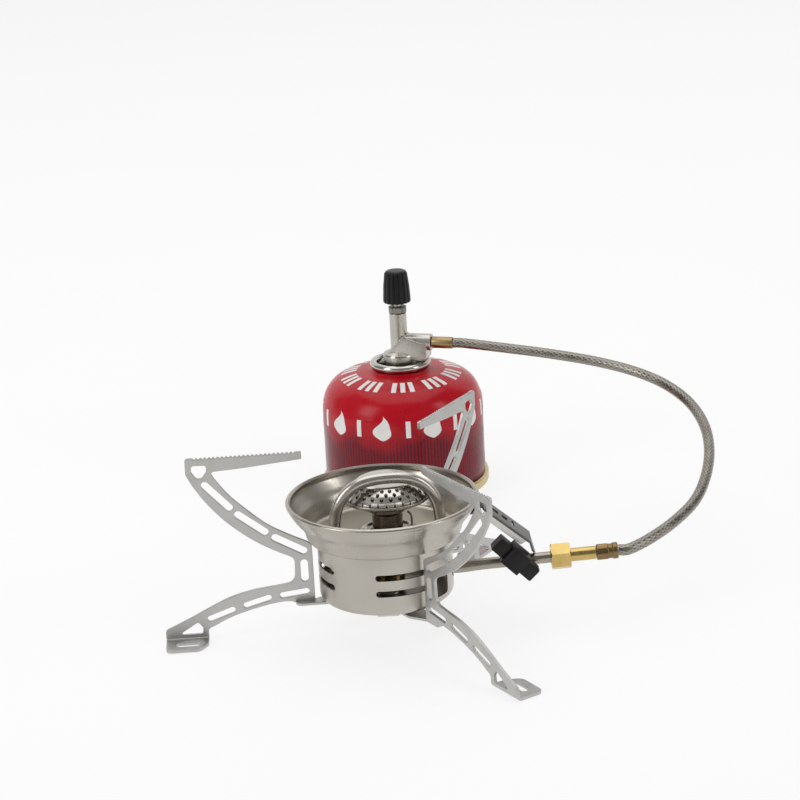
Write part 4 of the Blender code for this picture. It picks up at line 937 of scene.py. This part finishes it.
def electrode(looks):
    x, y = ELECTRODE
    foot = BOWL_FLOOR - 5
    top = BOWL_FLOOR + 5
    radius = CERAMIC_RADIUS
    ceramic = rounded([(radius, top, 0.4), (radius, foot, 0.2), (0.01, foot, 0), (0.01, top, 0)])
    ceramic = lathe(ceramic, 40, axis=ELECTRODE)
    piece("electrode", ceramic, looks["ceramic"], "burner_and_valve", ("electrode_ceramic",))
    reach = Vector((HEAD_X - x, -y)).normalized()
    path = [
        (x, y, top - 0.5), (x, y, top + 3.5), (x + reach.x * 0.6, y + reach.y * 0.6, top + 5.4),
        (x + reach.x * 2.0, y + reach.y * 2.0, top + 6.4),
    ]
    wire = sweep(smooth(path, 0.4), WIRE_RADIUS, 16)
    piece("spark_wire", wire, looks["gland"], "burner_and_valve", ("electrode_wire",))


# ---- legs ----


def leg_outline(level):
    """The flat leg before its foot is bent, as (distance from the burner's axis, height)."""
    elbow = ELBOW_RADIUS
    top = POT_HEIGHT
    foot = FOOT_RADIUS
    spine = SPINE_RADIUS
    strut = elbow - spine
    shin = foot - spine
    teeth = []
    for i in range(TEETH * 8 + 1):
        drop = TOOTH_DEPTH * (1 - math.cos(2 * math.pi * i / 8)) / 2
        teeth.append((elbow - 3.4 - i * TOOTH_PITCH / 8, top - drop, 0))
    tip = ARM_TIP_RADIUS
    sole = BEND_START - BEND_RADIUS * math.pi / 2 - (FOOT_WIDTH - BEND_RADIUS)
    arm = [
        (tip, top, 0.6), (tip, top - 3.6, 0.6), (tip + 0.49 * (elbow - tip), top - 6.1, 40),
        (elbow - 11.0, top - 7.1, 1.5),
    ]
    strut_top = [
        (spine + 0.769 * strut, top - 10.2), (spine + 0.663 * strut, top - 18.3),
        (spine + 0.532 * strut, top - 25.6), (spine + 0.366 * strut, top - 33.7),
        (spine + 0.195 * strut, top - 39.4), (spine + 0.040 * strut, top - 43.7),
    ]
    spine_edge = [
        (spine, top - 45.2, 2), (spine, level + 0.2, 0.8), (spine + 9.5, level + 0.2, 2.5),
        (spine + 11.0, 16.4, 2),
    ]
    shin_under = [
        (spine + 0.200 * shin, 16.6), (spine + 0.297 * shin, 15.7), (spine + 0.440 * shin, 13.3),
        (spine + 0.570 * shin, 10.3), (spine + 0.673 * shin, 6.8),
    ]
    foot_edge = [
        (FOOT_INNER_RADIUS, 5.6, 2), (FOOT_INNER_RADIUS, 1.0, 0),
        (FOOT_INNER_RADIUS + 0.2, sole + 6.0, 4), (FOOT_INNER_RADIUS + 4.0, sole, 4),
        (foot - 0.3, sole, 3), (foot, 2.0, 0), (foot, 6.0, 2),
    ]
    shin_top = [
        (spine + 0.949 * shin, 7.6), (spine + 0.821 * shin, 11.7), (spine + 0.676 * shin, 16.8),
        (spine + 0.546 * shin, 20.8), (spine + 0.417 * shin, 23.2), (spine + 0.346 * shin, 24.0),
        (spine + 0.233 * shin, 24.9),
    ]
    inside_edge = [(spine + 8.8, 26.0, 4), (spine + 8.3, 37.4, 3)]
    strut_under = [
        (spine + 0.211 * strut, top - 49.9), (spine + 0.277 * strut, top - 48.2),
        (spine + 0.413 * strut, top - 44.0), (spine + 0.548 * strut, top - 38.8),
        (spine + 0.681 * strut, top - 32.5), (spine + 0.780 * strut, top - 26.7),
        (spine + 0.876 * strut, top - 19.9), (spine + 0.954 * strut, top - 13.1),
    ]
    rest = arm + curved(strut_top) + spine_edge + curved(shin_under) + foot_edge
    rest += curved(shin_top) + inside_edge + curved(strut_under) + [(elbow + 0.1, top - 7.7, 3)]
    return rounded([(elbow, top, 1.5)] + teeth + rest, 6)


def curved(knots):
    """Corners of an outline along a smooth curve."""
    return [(x, y, 0) for x, y in smooth(knots, 2)]


def leg_holes():
    """The outlines of the holes in a leg, from its elbow round to its sole."""
    elbow = ELBOW_RADIUS
    top = POT_HEIGHT
    foot = FOOT_RADIUS
    spine = SPINE_RADIUS
    strut = elbow - spine
    shin = foot - spine
    wide = WIDE_SLOT
    narrow = NARROW_SLOT
    sole = BEND_START - BEND_RADIUS * math.pi / 2 + BEND_RADIUS - FOOT_WIDTH / 2 - 0.8
    elbow_hole = [
        (elbow - 3.0, top - 3.6, 1), (elbow - 2.5, top - 6.4, 1), (elbow - 4.6, top - 9.7, 1),
        (elbow - 7.2, top - 9.8, 1), (elbow - 9.4, top - 6.8, 1), (elbow - 9.4, top - 3.8, 1),
    ]
    foot_hole = [
        (foot - 6.0, 3.4, 0.6), (foot - 15.3, 9.2, 1), (foot - 17.4, 6.4, 1), (foot - 17.1, 3.4, 0.8),
    ]
    return [
        rounded(elbow_hole),
        slot_outline((spine + 0.871 * strut, top - 12.0), (spine + 0.641 * strut, top - 26.0), wide),
        slot_outline((spine + 0.619 * strut, top - 27.4), (spine + 0.357 * strut, top - 38.8), wide),
        slot_outline((spine + 0.328 * strut, top - 40.0), (spine + 0.044 * strut, top - 49.0), wide),
        slot_outline((spine + 4.1, 36.7), (spine + 4.1, 25.8), wide),
        slot_outline((spine + 0.034 * shin, 21.2), (spine + 0.231 * shin, 19.6), narrow),
        slot_outline((spine + 0.287 * shin, 19.3), (spine + 0.474 * shin, 15.7), narrow),
        slot_outline((spine + 0.530 * shin, 14.7), (spine + 0.716 * shin, 10.1), narrow),
        rounded(foot_hole),
        slot_outline((FOOT_INNER_RADIUS + 4, sole), (foot - 4.5, sole), SOLE_SLOT),
    ]


def bend_foot(mesh):
    """Bends what lies under the bend line out to +Y as the foot's sole."""
    shape = bmesh.new()
    shape.from_mesh(mesh)
    arc = BEND_RADIUS * math.pi / 2
    for k in range(9):
        everything = shape.verts[:] + shape.edges[:] + shape.faces[:]
        height = BEND_START - arc * k / 8
        bmesh.ops.bisect_plane(shape, geom=everything, plane_co=(0, 0, height), plane_no=(0, 0, 1), dist=1e-5)
    for vert in shape.verts:
        x, y, z = vert.co
        below = BEND_START - z
        if below <= 0:
            continue
        angle = min(below / BEND_RADIUS, math.pi / 2)
        beyond = max(0.0, below - arc)
        radius = BEND_RADIUS - y
        vert.co.y = BEND_RADIUS - radius * math.cos(angle) + beyond
        vert.co.z = BEND_START - radius * math.sin(angle)
    shape.to_mesh(mesh)
    shape.free()
    return mesh


def leg(name, looks):
    """A bent leg and the eye by which it hangs on the pivot under the drum."""
    level = EYE_LEVELS[name]
    flat = stand_up(plate([leg_outline(level)] + leg_holes(), LEG_SHEET, 0.22))
    body = bend_foot(flat)
    reach = SPINE_RADIUS + 9.0
    inside = -0.55
    half = EYE_ARM_HALF_WIDTH
    eye = EYE_RADIUS
    arm = rounded(
        [
            (reach, inside, 0.3), (reach, half, 3), (SPINE_RADIUS - 8, half, 6), (eye * 0.8, half, 0),
            (eye * 0.45, eye * 0.9, 3), (-eye * 0.45, eye * 0.9, 3), (-eye, 0, 4),
            (-eye * 0.45, -eye * 0.9, 3), (eye * 0.45, -eye * 0.9, 3), (eye * 0.8, -half, 0),
            (SPINE_RADIUS - 8, -half, 6), (SPINE_RADIUS + 0.4, inside, 0),
        ]
    )
    arm = moved(plate([arm, circle(PIVOT_BORE)], EYE_SHEET, 0.15), (0, 0, level + EYE_SHEET / 2))
    whole = moved(together(body, arm), tilt=(0, 0, LEG_AZIMUTHS[name]))
    piece("leg_sheet_" + name, whole, looks["leg"], name + "_leg", ("leg_" + name,), 18)


# ---- igniter ----


def igniter(looks):
    """The body and its push button, which point down and out along local +Z."""
    wall = square(IGNITER_HALF, 0.7)
    pocket = rounded(square(POCKET_HALF, 0.3))
    low, high = CASE_MOUTH
    mouth = moved(plate([rounded(wall), pocket], high - low, 0.3), (0, 0, (low + high) / 2))
    case = together(mouth, block(wall, CASE_MIDDLE, 0.3), block(square(3.6, 0.6), CASE_NECK, 0.4))
    case = moved(case, IGNITER_AT, IGNITER_TILT)
    piece("igniter_case", case, looks["plastic"], "burner_and_valve", ("igniter_body",))
    button = moved(block(square(BUTTON_HALF, 1.0), BUTTON_SPAN, 0.7), IGNITER_AT, IGNITER_TILT)
    piece("igniter_push", button, looks["plastic"], "button", ("igniter_button",))


def igniter_bracket(looks):
    """A sloping web with a bent-down end and a tab that meets the bowl, and the flange at its side."""
    sheet = BRACKET_SHEET
    edge = 0.15
    run, drop = BRACKET_RUN
    length = math.hypot(run, drop)
    place = (BRACKET_TOP[0], 0, BRACKET_TOP[1])
    slope = (0, math.degrees(math.atan2(-drop, run)), 0)
    half = BRACKET_HALF_WIDTH
    holes = []
    for near, far in ((5.6, 8.8), (11.0, 14.2)):
        holes.append(rounded([(near, -1.0, 0.3), (far, -1.0, 0.3), (far, 2.4, 0.3), (near, 2.4, 0.3)]))
    holes.append(slot_outline((17.6, -2.2), (17.6, 4.0), 1.2))
    outline = rounded([(0, -half, 0.8), (length, -half, 0), (length, half, 0), (0, half, 0.8)])
    web = plate([outline] + holes, sheet, edge)
    side = half - 0.2
    end = rounded([(-0.4, -side, 0), (3.8, -side, 0.5), (11.5, side, 1), (-0.4, side, 0)])
    end = moved(plate([end], sheet, edge), (length, 0, 0), (0, BRACKET_END_FALL, 0))
    tab = rounded([(-7.0, -4, 1.2), (0.4, -4, 0), (0.4, 4, 0), (-7.0, 4, 1.2)])
    tab = moved(plate([tab], sheet, edge), tilt=(0, -BRACKET_TAB_RISE, 0))
    holder = moved(together(web, end, tab), place, slope)
    # The web's dark tone is painted shade under the bowl's rim.
    metal = looks["bracket"]
    piece("igniter_holder", holder, metal, "burner_and_valve", ("igniter_bracket",), 18)

    flange = rounded([(2, -3.4, 1), (length - 3, -3.4, 1), (length - 1.5, 0.5, 0), (1, 0.5, 0)])
    flange = moved(stand_up(plate([flange], sheet, edge)), (0, -half + sheet / 2 + 0.2, 0))
    flange = moved(flange, place, slope)
    piece("holder_flange", flange, looks["steel"], "burner_and_valve", sharp=18)


# ---- hose line ----


def along_pipe(distance):
    return (distance, 0, pipe_height(distance))


def fittings(looks):
    """The nut, the hose's tail and the crimped sleeve, which goes with the hose."""
    tilt = (0, 90 - PIPE_RISE, 0)
    corner = NUT_FLATS / math.sqrt(3)
    hexagon = moved(plate([circle(corner, sides=6)], NUT_LENGTH, 0), (0, 0, NUT_LENGTH / 2))
    high = NUT_LENGTH
    chamfer = [(5.5, high), (6.6, high - 0.7), (6.6, 0.7), (5.5, 0), (3.4, 0), (3.4, high)]
    nut = moved(boolean(hexagon, [lathe(chamfer, 96)], "INTERSECT"), along_pipe(NUT_START), tilt)
    piece("pipe_nut", nut, looks["brass"], "burner_and_valve", ("hose_nut",), 12)

    end = TAIL_LENGTH
    radius = TAIL_RADIUS
    bore = FITTING_BORE
    tail = rounded([(radius, end, 0.3), (radius, 0, 0.3), (bore, 0, 0.1), (bore, end, 0.1)])
    tail = moved(lathe(tail, 64), along_pipe(TAIL_START), tilt)
    piece("pipe_tail", tail, looks["brass"], "burner_and_valve", ("hose_tail",))

    high = CRIMP_LENGTH
    radius = CRIMP_RADIUS
    crimp = rounded(
        [
            (bore, high, 0), (radius, high, 0.6), (radius, high - 2.4, 0.3),
            (radius - 0.4, high - 2.8, 0.3), (radius - 0.4, high - 4.4, 0.3), (radius, high - 4.9, 0.3),
            (radius, 0, 0.6), (bore, 0, 0),
        ]
    )

    def dents(index, angle):
        """What the crimping tool's jaws press in, under the sleeve's groove."""
        radius, height = crimp[index]
        if height > high - 4.6 or radius < 2:
            return 0.0
        return -CRIMP_DENT * abs(math.sin(CRIMP_JAWS / 2 * angle)) ** 3

    crimp_mesh = moved(lathe(crimp, 96, wave=dents), along_pipe(CRIMP_START), tilt)
    return piece("pipe_crimp", crimp_mesh, looks["bronze"], "burner_and_valve", ("hose_crimp",))


def port_point(distance):
    x, y, _ = polar(distance, VALVE_ANGLE)
    return (CANISTER[0] + x, CANISTER[1] + y, PORT_HEIGHT)


def weave(distance, angle):
    """The relief of a plain braid: two sets of helical bands that pass over and under each other."""
    turns = math.pi * CARRIERS * distance / BRAID_PITCH
    first = CARRIERS * angle + turns
    second = CARRIERS * angle - turns
    over = 0.30 * math.cos(CARRIERS * angle)
    right = abs(math.cos(first / 2)) ** 0.7 + over
    left = abs(math.cos(second / 2)) ** 0.7 - over
    return BRAID_DEPTH * (max(right, left) - 1.0)


def hose(looks):
    """The braided hose, from the crimp round to the valve's sleeve."""
    points = [along_pipe(HOSE_START), along_pipe(HOSE_START + 5)]
    points += HOSE_ROUTE
    points += [port_point(36.2), port_point(30.2)]
    path = smooth(points, 0.42)
    tube = sweep(path, HOSE_RADIUS, 60, weave)
    obj = piece("braided_hose", tube, looks["braid"], "burner_and_valve", ("hose",), 60)


# ---- valve ----


def valve(looks):
    roof = SOCKET_ROOF
    socket = SOCKET_RADIUS
    radius = COLUMN_RADIUS
    gland_floor = VALVE_TOP - GLAND_DEPTH
    column = rounded(
        [
            (radius, VALVE_TOP, 0.4), (radius, roof + 2.2, 1.5), (socket - 0.4, roof + 0.4, 0.6),
            (socket, roof - 0.6, 0.4), (socket, SOCKET_BOTTOM, 0.5), (SOCKET_BORE, SOCKET_BOTTOM, 0),
            (SOCKET_BORE, roof, 0), (SPINDLE_BORE, roof, 0), (SPINDLE_BORE, gland_floor, 0),
            (GLAND_BORE, gland_floor, 0), (GLAND_BORE, VALVE_TOP, 0.2),
        ]
    )
    column = lathe(column, 96)
    reach = PORT_REACH
    port = [(PORT_RADIUS, reach, 0.5), (PORT_RADIUS, 0, 0), (PORT_BORE, 0, 0), (PORT_BORE, reach, 0.2)]
    port = moved(lathe(rounded(port), 72), (0, 0, PORT_HEIGHT), (0, 90, 0))
    gusset = rounded(
        [
            (-10.4, 66.2, 0.5), (10.4, 66.2, 0.5), (10.4, 69.8, 0.5), (16.2, 69.8, 1.5),
            (16.2, PORT_HEIGHT, 0), (4.6, 81.8, 0), (3.6, 83.3, 1), (-10.4, 68.2, 1),
        ]
    )
    gusset = stand_up(plate([gusset], GUSSET_WIDTH, 0.35))
    bore = [
        (0, VALVE_TOP + 1), (GLAND_BORE, VALVE_TOP + 1), (GLAND_BORE, gland_floor),
        (SPINDLE_BORE, gland_floor), (SPINDLE_BORE, roof), (SOCKET_BORE, roof),
        (SOCKET_BORE, SOCKET_BOTTOM - 3), (0, SOCKET_BOTTOM - 3),
    ]
    gusset = boolean(gusset, [lathe(bore, 72, closed=False)])
    whole = moved(together(column, port, gusset), (*CANISTER, 0), (0, 0, VALVE_ANGLE))
    piece("valve_block", whole, looks["nickel"], "burner_and_valve", ("valve_body",), 24)


def valve_fittings(looks):
    """The gland nut on the valve's top and the sleeve between its port and the hose."""
    radius = GLAND_RADIUS
    gland = rounded(
        [
            (SPINDLE_BORE, GLAND_TOP, 0.2), (radius, GLAND_TOP, 0.5), (radius, GLAND_BOTTOM, 0.4),
            (SPINDLE_BORE, GLAND_BOTTOM, 0),
        ]
    )

    def notches(index, angle):
        return -0.35 * max(0.0, math.cos(GLAND_NOTCHES * angle)) if gland[index][0] > 4 else 0.0

    gland_mesh = lathe(gland, 144, axis=CANISTER, wave=notches)
    piece("gland_ring", gland_mesh, looks["gland"], "burner_and_valve", ("gland_nut",))

    end = SLEEVE_LENGTH
    sleeve = rounded([(FITTING_BORE, end, 0), (3.1, end, 0.6), (3.1, 0, 0.3), (FITTING_BORE, 0, 0)])
    sleeve = moved(lathe(sleeve, 64), port_point(SLEEVE_START), (0, 90, VALVE_ANGLE))
    piece("port_sleeve", sleeve, looks["sleeve"], "burner_and_valve", ("valve_sleeve",))


def knob(looks):
    """The spindle and the ribbed knob, which turn together."""
    radius = SPINDLE_RADIUS
    top = SPINDLE_TOP
    bottom = SPINDLE_BOTTOM
    spindle = rounded([(radius, top, 0.3), (radius, bottom + 2, 0.6), (0.02, bottom, 0), (0.02, top, 0)])
    spindle = lathe(spindle, 48, axis=CANISTER)
    piece("spindle_rod", spindle, looks["nickel"], "knob", ("valve_spindle",))

    low = KNOB_BOTTOM
    outline = rounded(
        [
            (0.02, KNOB_TOP, 0), (KNOB_TOP_RADIUS + 0.2, KNOB_TOP - 0.1, 2.0),
            (KNOB_TOP_RADIUS + 1.2, low + 9.5, 12), (KNOB_RADIUS, low + 2.4, 1),
            (KNOB_RADIUS, low + 0.2, 0.8), (5.6, low + 0.9, 0.5), (4.6, low, 0.4),
            (SPINDLE_BORE, low, 0), (SPINDLE_BORE, top + 0.3, 0), (0.02, top + 0.3, 0),
        ],
        5,
    )
    side = []
    for a, b in zip(outline, outline[1:]):
        pieces = max(1, round(math.dist(a, b) / 0.8))
        for k in range(pieces):
            side.append((a[0] + (b[0] - a[0]) * k / pieces, a[1] + (b[1] - a[1]) * k / pieces))
    side.append(outline[-1])

    def grooves(index, angle):
        """Rounded grooves down the side, which fade out over the top's edge and under the skirt."""
        radius, height = side[index]
        if radius < 4.9 or height < low + 0.1:
            return 0.0
        fade = min(1.0, (radius - 4.9) / 0.6) * min(1.0, (KNOB_TOP - 0.2 - height) / 1.4)
        groove = (0.5 - 0.5 * math.cos(KNOB_GROOVES * angle)) ** 3
        return -GROOVE_DEPTH * max(0.0, fade) * groove

    knob_mesh = lathe(side, 256, axis=CANISTER, wave=grooves)
    piece("knob_grip", knob_mesh, looks["knob"], "knob", ("control_knob",), 35)


# ---- canister ----


def shell_outline():
    """The canister's painted wall from its neck down, as (radius, height)."""
    wall = CANISTER_RADIUS
    top = CANISTER_HEIGHT
    drop = top - SHOULDER_START
    knots = [
        (15.3, top), (17.1, top - 0.04 * drop), (wall * 0.56, top - 0.09 * drop),
        (wall * 0.73, top - 0.19 * drop), (wall * 0.85, top - 0.32 * drop),
        (wall * 0.93, top - 0.5 * drop), (wall * 0.98, top - 0.74 * drop), (wall, SHOULDER_START),
        (wall, 26.0), (wall, CHIME_HEIGHT + 3.7), (wall - 0.5, CHIME_HEIGHT + 1.8),
        (wall - 0.1, CHIME_HEIGHT + 0.3),
    ]
    return [tuple(p) for p in smooth(knots, 0.6)]


def on_shell(outline, along, lift):
    """The point of the wall's outline at a distance down it, lifted off its surface."""
    for a, b in zip(outline, outline[1:]):
        step = math.dist(a, b)
        if along <= step:
            t = along / step
            out = (-(b[1] - a[1]) / step, (b[0] - a[0]) / step)
            return (a[0] + (b[0] - a[0]) * t + out[0] * lift, a[1] + (b[1] - a[1]) * t + out[1] * lift)
        along -= step
    return outline[-1]


def patch(outline, angle, start, end, width, rows=36, columns=8):
    """A printed shape on the wall: width(t) is its half width and shift at a share t of its length."""
    shape = bmesh.new()
    grid = []
    for i in range(rows + 1):
        t = i / rows
        radius, height = on_shell(outline, start + (end - start) * t, 0.05)
        half, shift = width(t)
        row = []
        for k in range(columns + 1):
            across = (shift + half * (2 * k / columns - 1)) / radius
            turn = math.radians(angle) + across
            place = (CANISTER[0] + radius * math.cos(turn), CANISTER[1] + radius * math.sin(turn), height)
            row.append(shape.verts.new(place))
        grid.append(row)
    for upper, lower in zip(grid, grid[1:]):
        for k in range(columns):
            shape.faces.new([upper[k], lower[k], lower[k + 1], upper[k + 1]])
    mesh = bpy.data.meshes.new("patch")
    shape.to_mesh(mesh)
    shape.free()
    return mesh


def droplet(t):
    """A flame-like drop, pointed above and round below."""
    half = 5.0 * math.sin(math.pi * t**1.7) ** 0.8 if 0 < t < 1 else 0.02
    return (max(half, 0.02), 1.6 * math.sin(2.2 * math.pi * t) * (1 - t))


def bar(t):
    """A plain bar, the same width all along."""
    return (1.3, 0.0)


def canister_wall(outline, looks):
    sheet = SHELL_SHEET
    inner = [(radius - sheet, height - 0.15) for radius, height in reversed(outline[1:-1])]
    profile = outline + [(CANISTER_RADIUS - 1.0, CHIME_HEIGHT + 0.3)] + inner
    profile.append((outline[0][0] - 1.0, CANISTER_HEIGHT - sheet))
    shell = lathe(profile, 192, axis=CANISTER)
    piece("canister_wall", shell, looks["paint"], "canister", ("canister_shell",), 40)


def canister_foot(looks):
    """The base: the rolled chime and the dished sheet inside it."""
    chime = CHIME_RADIUS
    wall = CANISTER_RADIUS
    base = rounded(
        [
            (0.02, CHIME_HEIGHT + 5.6, 0), (wall * 0.5, CHIME_HEIGHT + 4.4, 30),
            (wall * 0.8, CHIME_HEIGHT + 1.6, 12), (wall - 2.4, CHIME_HEIGHT - 0.7, 1),
            (wall - 1.4, CHIME_HEIGHT, 0.4), (chime, CHIME_HEIGHT, 1.1), (chime, 0, 1.3),
            (chime - 4.0, 0, 1.3), (wall - 2.8, CHIME_HEIGHT - 1.5, 1),
            (wall * 0.79, CHIME_HEIGHT + 1.1, 10), (wall * 0.49, CHIME_HEIGHT + 3.9, 30),
            (0.02, CHIME_HEIGHT + 5.1, 0),
        ],
        6,
    )
    base = lathe(base, 192, axis=CANISTER)
    piece("canister_foot", base, looks["gold"], "canister", ("canister_base",), 35)


def neck_cup(looks):
    """The valve cup: its rolled rim, its well and the threaded boss, from the outside in."""
    sheet = CUP_SHEET
    floor = CUP_FLOOR
    wall = CUP_CURL_RADIUS - 1.4
    curl = []
    for k in range(23):
        angle = math.radians(180 - k * 10)
        across = CUP_CURL_SIZE * math.cos(angle)
        curl.append((CUP_CURL_RADIUS + across, CUP_CURL_HEIGHT + CUP_CURL_SIZE * math.sin(angle)))
    well = rounded(
        [
            (wall, 65.2, 0.3), (wall, floor, 1), (BOSS_RADIUS - sheet, floor, 0.5),
            (BOSS_RADIUS - sheet, BOSS_TOP - sheet, 0.4), (2.2, BOSS_TOP - sheet, 0),
            (2.2, BOSS_TOP, 0), (BOSS_RADIUS, BOSS_TOP, 0.5), (BOSS_RADIUS, floor + sheet, 0.8),
            (wall - sheet, floor + sheet, 1.2),
        ]
    )
    cup = lathe(curl + well, 128, axis=CANISTER)
    piece("neck_cup", cup, looks["chrome"], "canister", ("mounting_cup",), 40)


def canister_print(outline, looks):
    """White drops and bars round the wall, and short bars in threes on the shoulder."""
    prints = []
    for index in range(PRINT_REPEATS):
        angle = PRINT_START + 360 * index / PRINT_REPEATS
        prints.append(patch(outline, angle, 32.0, 45.5, droplet))
        prints.append(patch(outline, angle + 180 / PRINT_REPEATS, 35.0, 44.0, bar))
        for offset in (7, 16, 25):
            prints.append(patch(outline, angle + offset, 9.0, 18.0, bar))
    piece("canister_print", together(*prints), looks["print"], "canister")


# ---- what the CAD shows ----

CAD_LOOKS = {
    "mixing_tube": "steel",
    "jet_block": "brass",
    "jet": "brass",
    "pivot_sleeve": "steel",
    "pivot_washer_top": "brass",
    "pivot_washer_bottom": "brass",
    "pivot_nut": "steel",
    "igniter_spring": "steel",
    "spindle_o_ring": "rubber",
    "socket_o_ring": "rubber",
    "depressor_pin": "brass",
    "canister_gasket": "rubber",
    "canister_valve_housing": "plastic",
    "canister_valve_stem": "brass",
}


def dress_cad(looks):
    for name, look in CAD_LOOKS.items():
        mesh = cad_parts[name].data
        mesh.materials.clear()
        mesh.materials.append(looks[look])


# ---- stage ----


def floor_look():
    look = Look("paper_floor")
    cloud = look.noise(3.0, detail=2.0)
    look.colour(look.mix(look.spread(cloud, 0, 1), tint(0.17, 0.17, 0.17), tint(0.19, 0.19, 0.19)))
    look.rough(look.spread(cloud, 0.80, 0.90))
    look.feed(look.shader, "Emission Color", tint(1.0, 1.0, 1.0))
    look.feed(look.shader, "Emission Strength", FLOOR_GLOW)
    return look.material


def stage():
    """A pale sweep: floor in front, wall behind, joined by a wide curve."""
    shape = bmesh.new()
    radius = SWEEP_RADIUS
    rows = [(-3.0, 0.0), (SWEEP_START, 0.0)]
    for k in range(1, 13):
        angle = math.radians(90 * k / 12)
        rows.append((SWEEP_START + radius * math.sin(angle), radius - radius * math.cos(angle)))
    rows.append((SWEEP_START + radius, 4.0))
    lines = [[shape.verts.new((x, y, z - 0.0002)) for x in (-4, 4)] for y, z in rows]
    for a, b in zip(lines, lines[1:]):
        shape.faces.new([a[0], a[1], b[1], b[0]])
    mesh = bpy.data.meshes.new("sweep")
    shape.to_mesh(mesh)
    shape.free()
    mesh.materials.append(floor_look())
    mesh.shade_smooth()
    sweep_object = bpy.data.objects.new("sweep", mesh)
    bpy.context.scene.collection.objects.link(sweep_object)


def area_light(name, place, target, size, power):
    light = bpy.data.lights.new(name, "AREA")
    light.shape = "RECTANGLE"
    light.size = size[0]
    light.size_y = size[1]
    light.energy = power
    obj = bpy.data.objects.new(name, light)
    obj.location = place
    obj.rotation_euler = (Vector(target) - Vector(place)).to_track_quat("-Z", "Y").to_euler()
    bpy.context.scene.collection.objects.link(obj)


def lights():
    world = bpy.data.worlds.new("studio")
    world.use_nodes = True
    background = next(node for node in world.node_tree.nodes if node.type == "BACKGROUND")
    background.inputs["Color"].default_value = (0.70, 0.69, 0.67, 1)
    background.inputs["Strength"].default_value = WORLD_STRENGTH
    bpy.context.scene.world = world
    area_light("top", (0.0, 0.2, 1.5), (0, 0, 0), (1.5, 1.5), 10)
    area_light("left", (-1.3, -0.8, 0.9), (0, 0, 0.05), (0.6, 1.0), 8)
    area_light("right", (1.4, -0.6, 0.8), (0, 0, 0.05), (0.4, 1.0), 4)


def camera():
    """A long lens that looks down a little, tipped slightly to one side."""
    pitch = math.radians(CAMERA_PITCH)
    roll = math.radians(CAMERA_ROLL)
    right = Vector((1, 0, 0))
    up = Vector((0, math.sin(pitch), math.cos(pitch)))
    ahead = Vector((0, math.cos(pitch), -math.sin(pitch)))
    across = right * math.cos(roll) + up * math.sin(roll)
    upward = up * math.cos(roll) - right * math.sin(roll)
    data = bpy.data.cameras.new("camera")
    data.lens = CAMERA_LENS
    data.clip_start = 0.05
    obj = bpy.data.objects.new("camera", data)
    turn = Matrix((across, upward, -ahead)).transposed().to_4x4()
    obj.matrix_world = Matrix.Translation(CAMERA_PLACE) @ turn
    bpy.context.scene.collection.objects.link(obj)
    bpy.context.scene.camera = obj
    bpy.context.scene.view_settings.view_transform = "Standard"


def main():
    looks = materials()
    stage()
    lights()
    camera()
    crimp = fittings(looks)
    hose(looks)
    burner_bowl(looks)
    floor_bead(looks)
    burner_drum(looks)
    burner_head(looks)
    flame_spreader(looks)
    generator_tube(looks)
    electrode(looks)
    for name in LEG_AZIMUTHS:
        leg(name, looks)
    igniter(looks)
    igniter_bracket(looks)
    valve(looks)
    valve_fittings(looks)
    knob(looks)
    outline = shell_outline()
    canister_wall(outline, looks)
    canister_foot(looks)
    neck_cup(looks)
    canister_print(outline, looks)
    dress_cad(looks)


main()
bpy.context.view_layer.update()
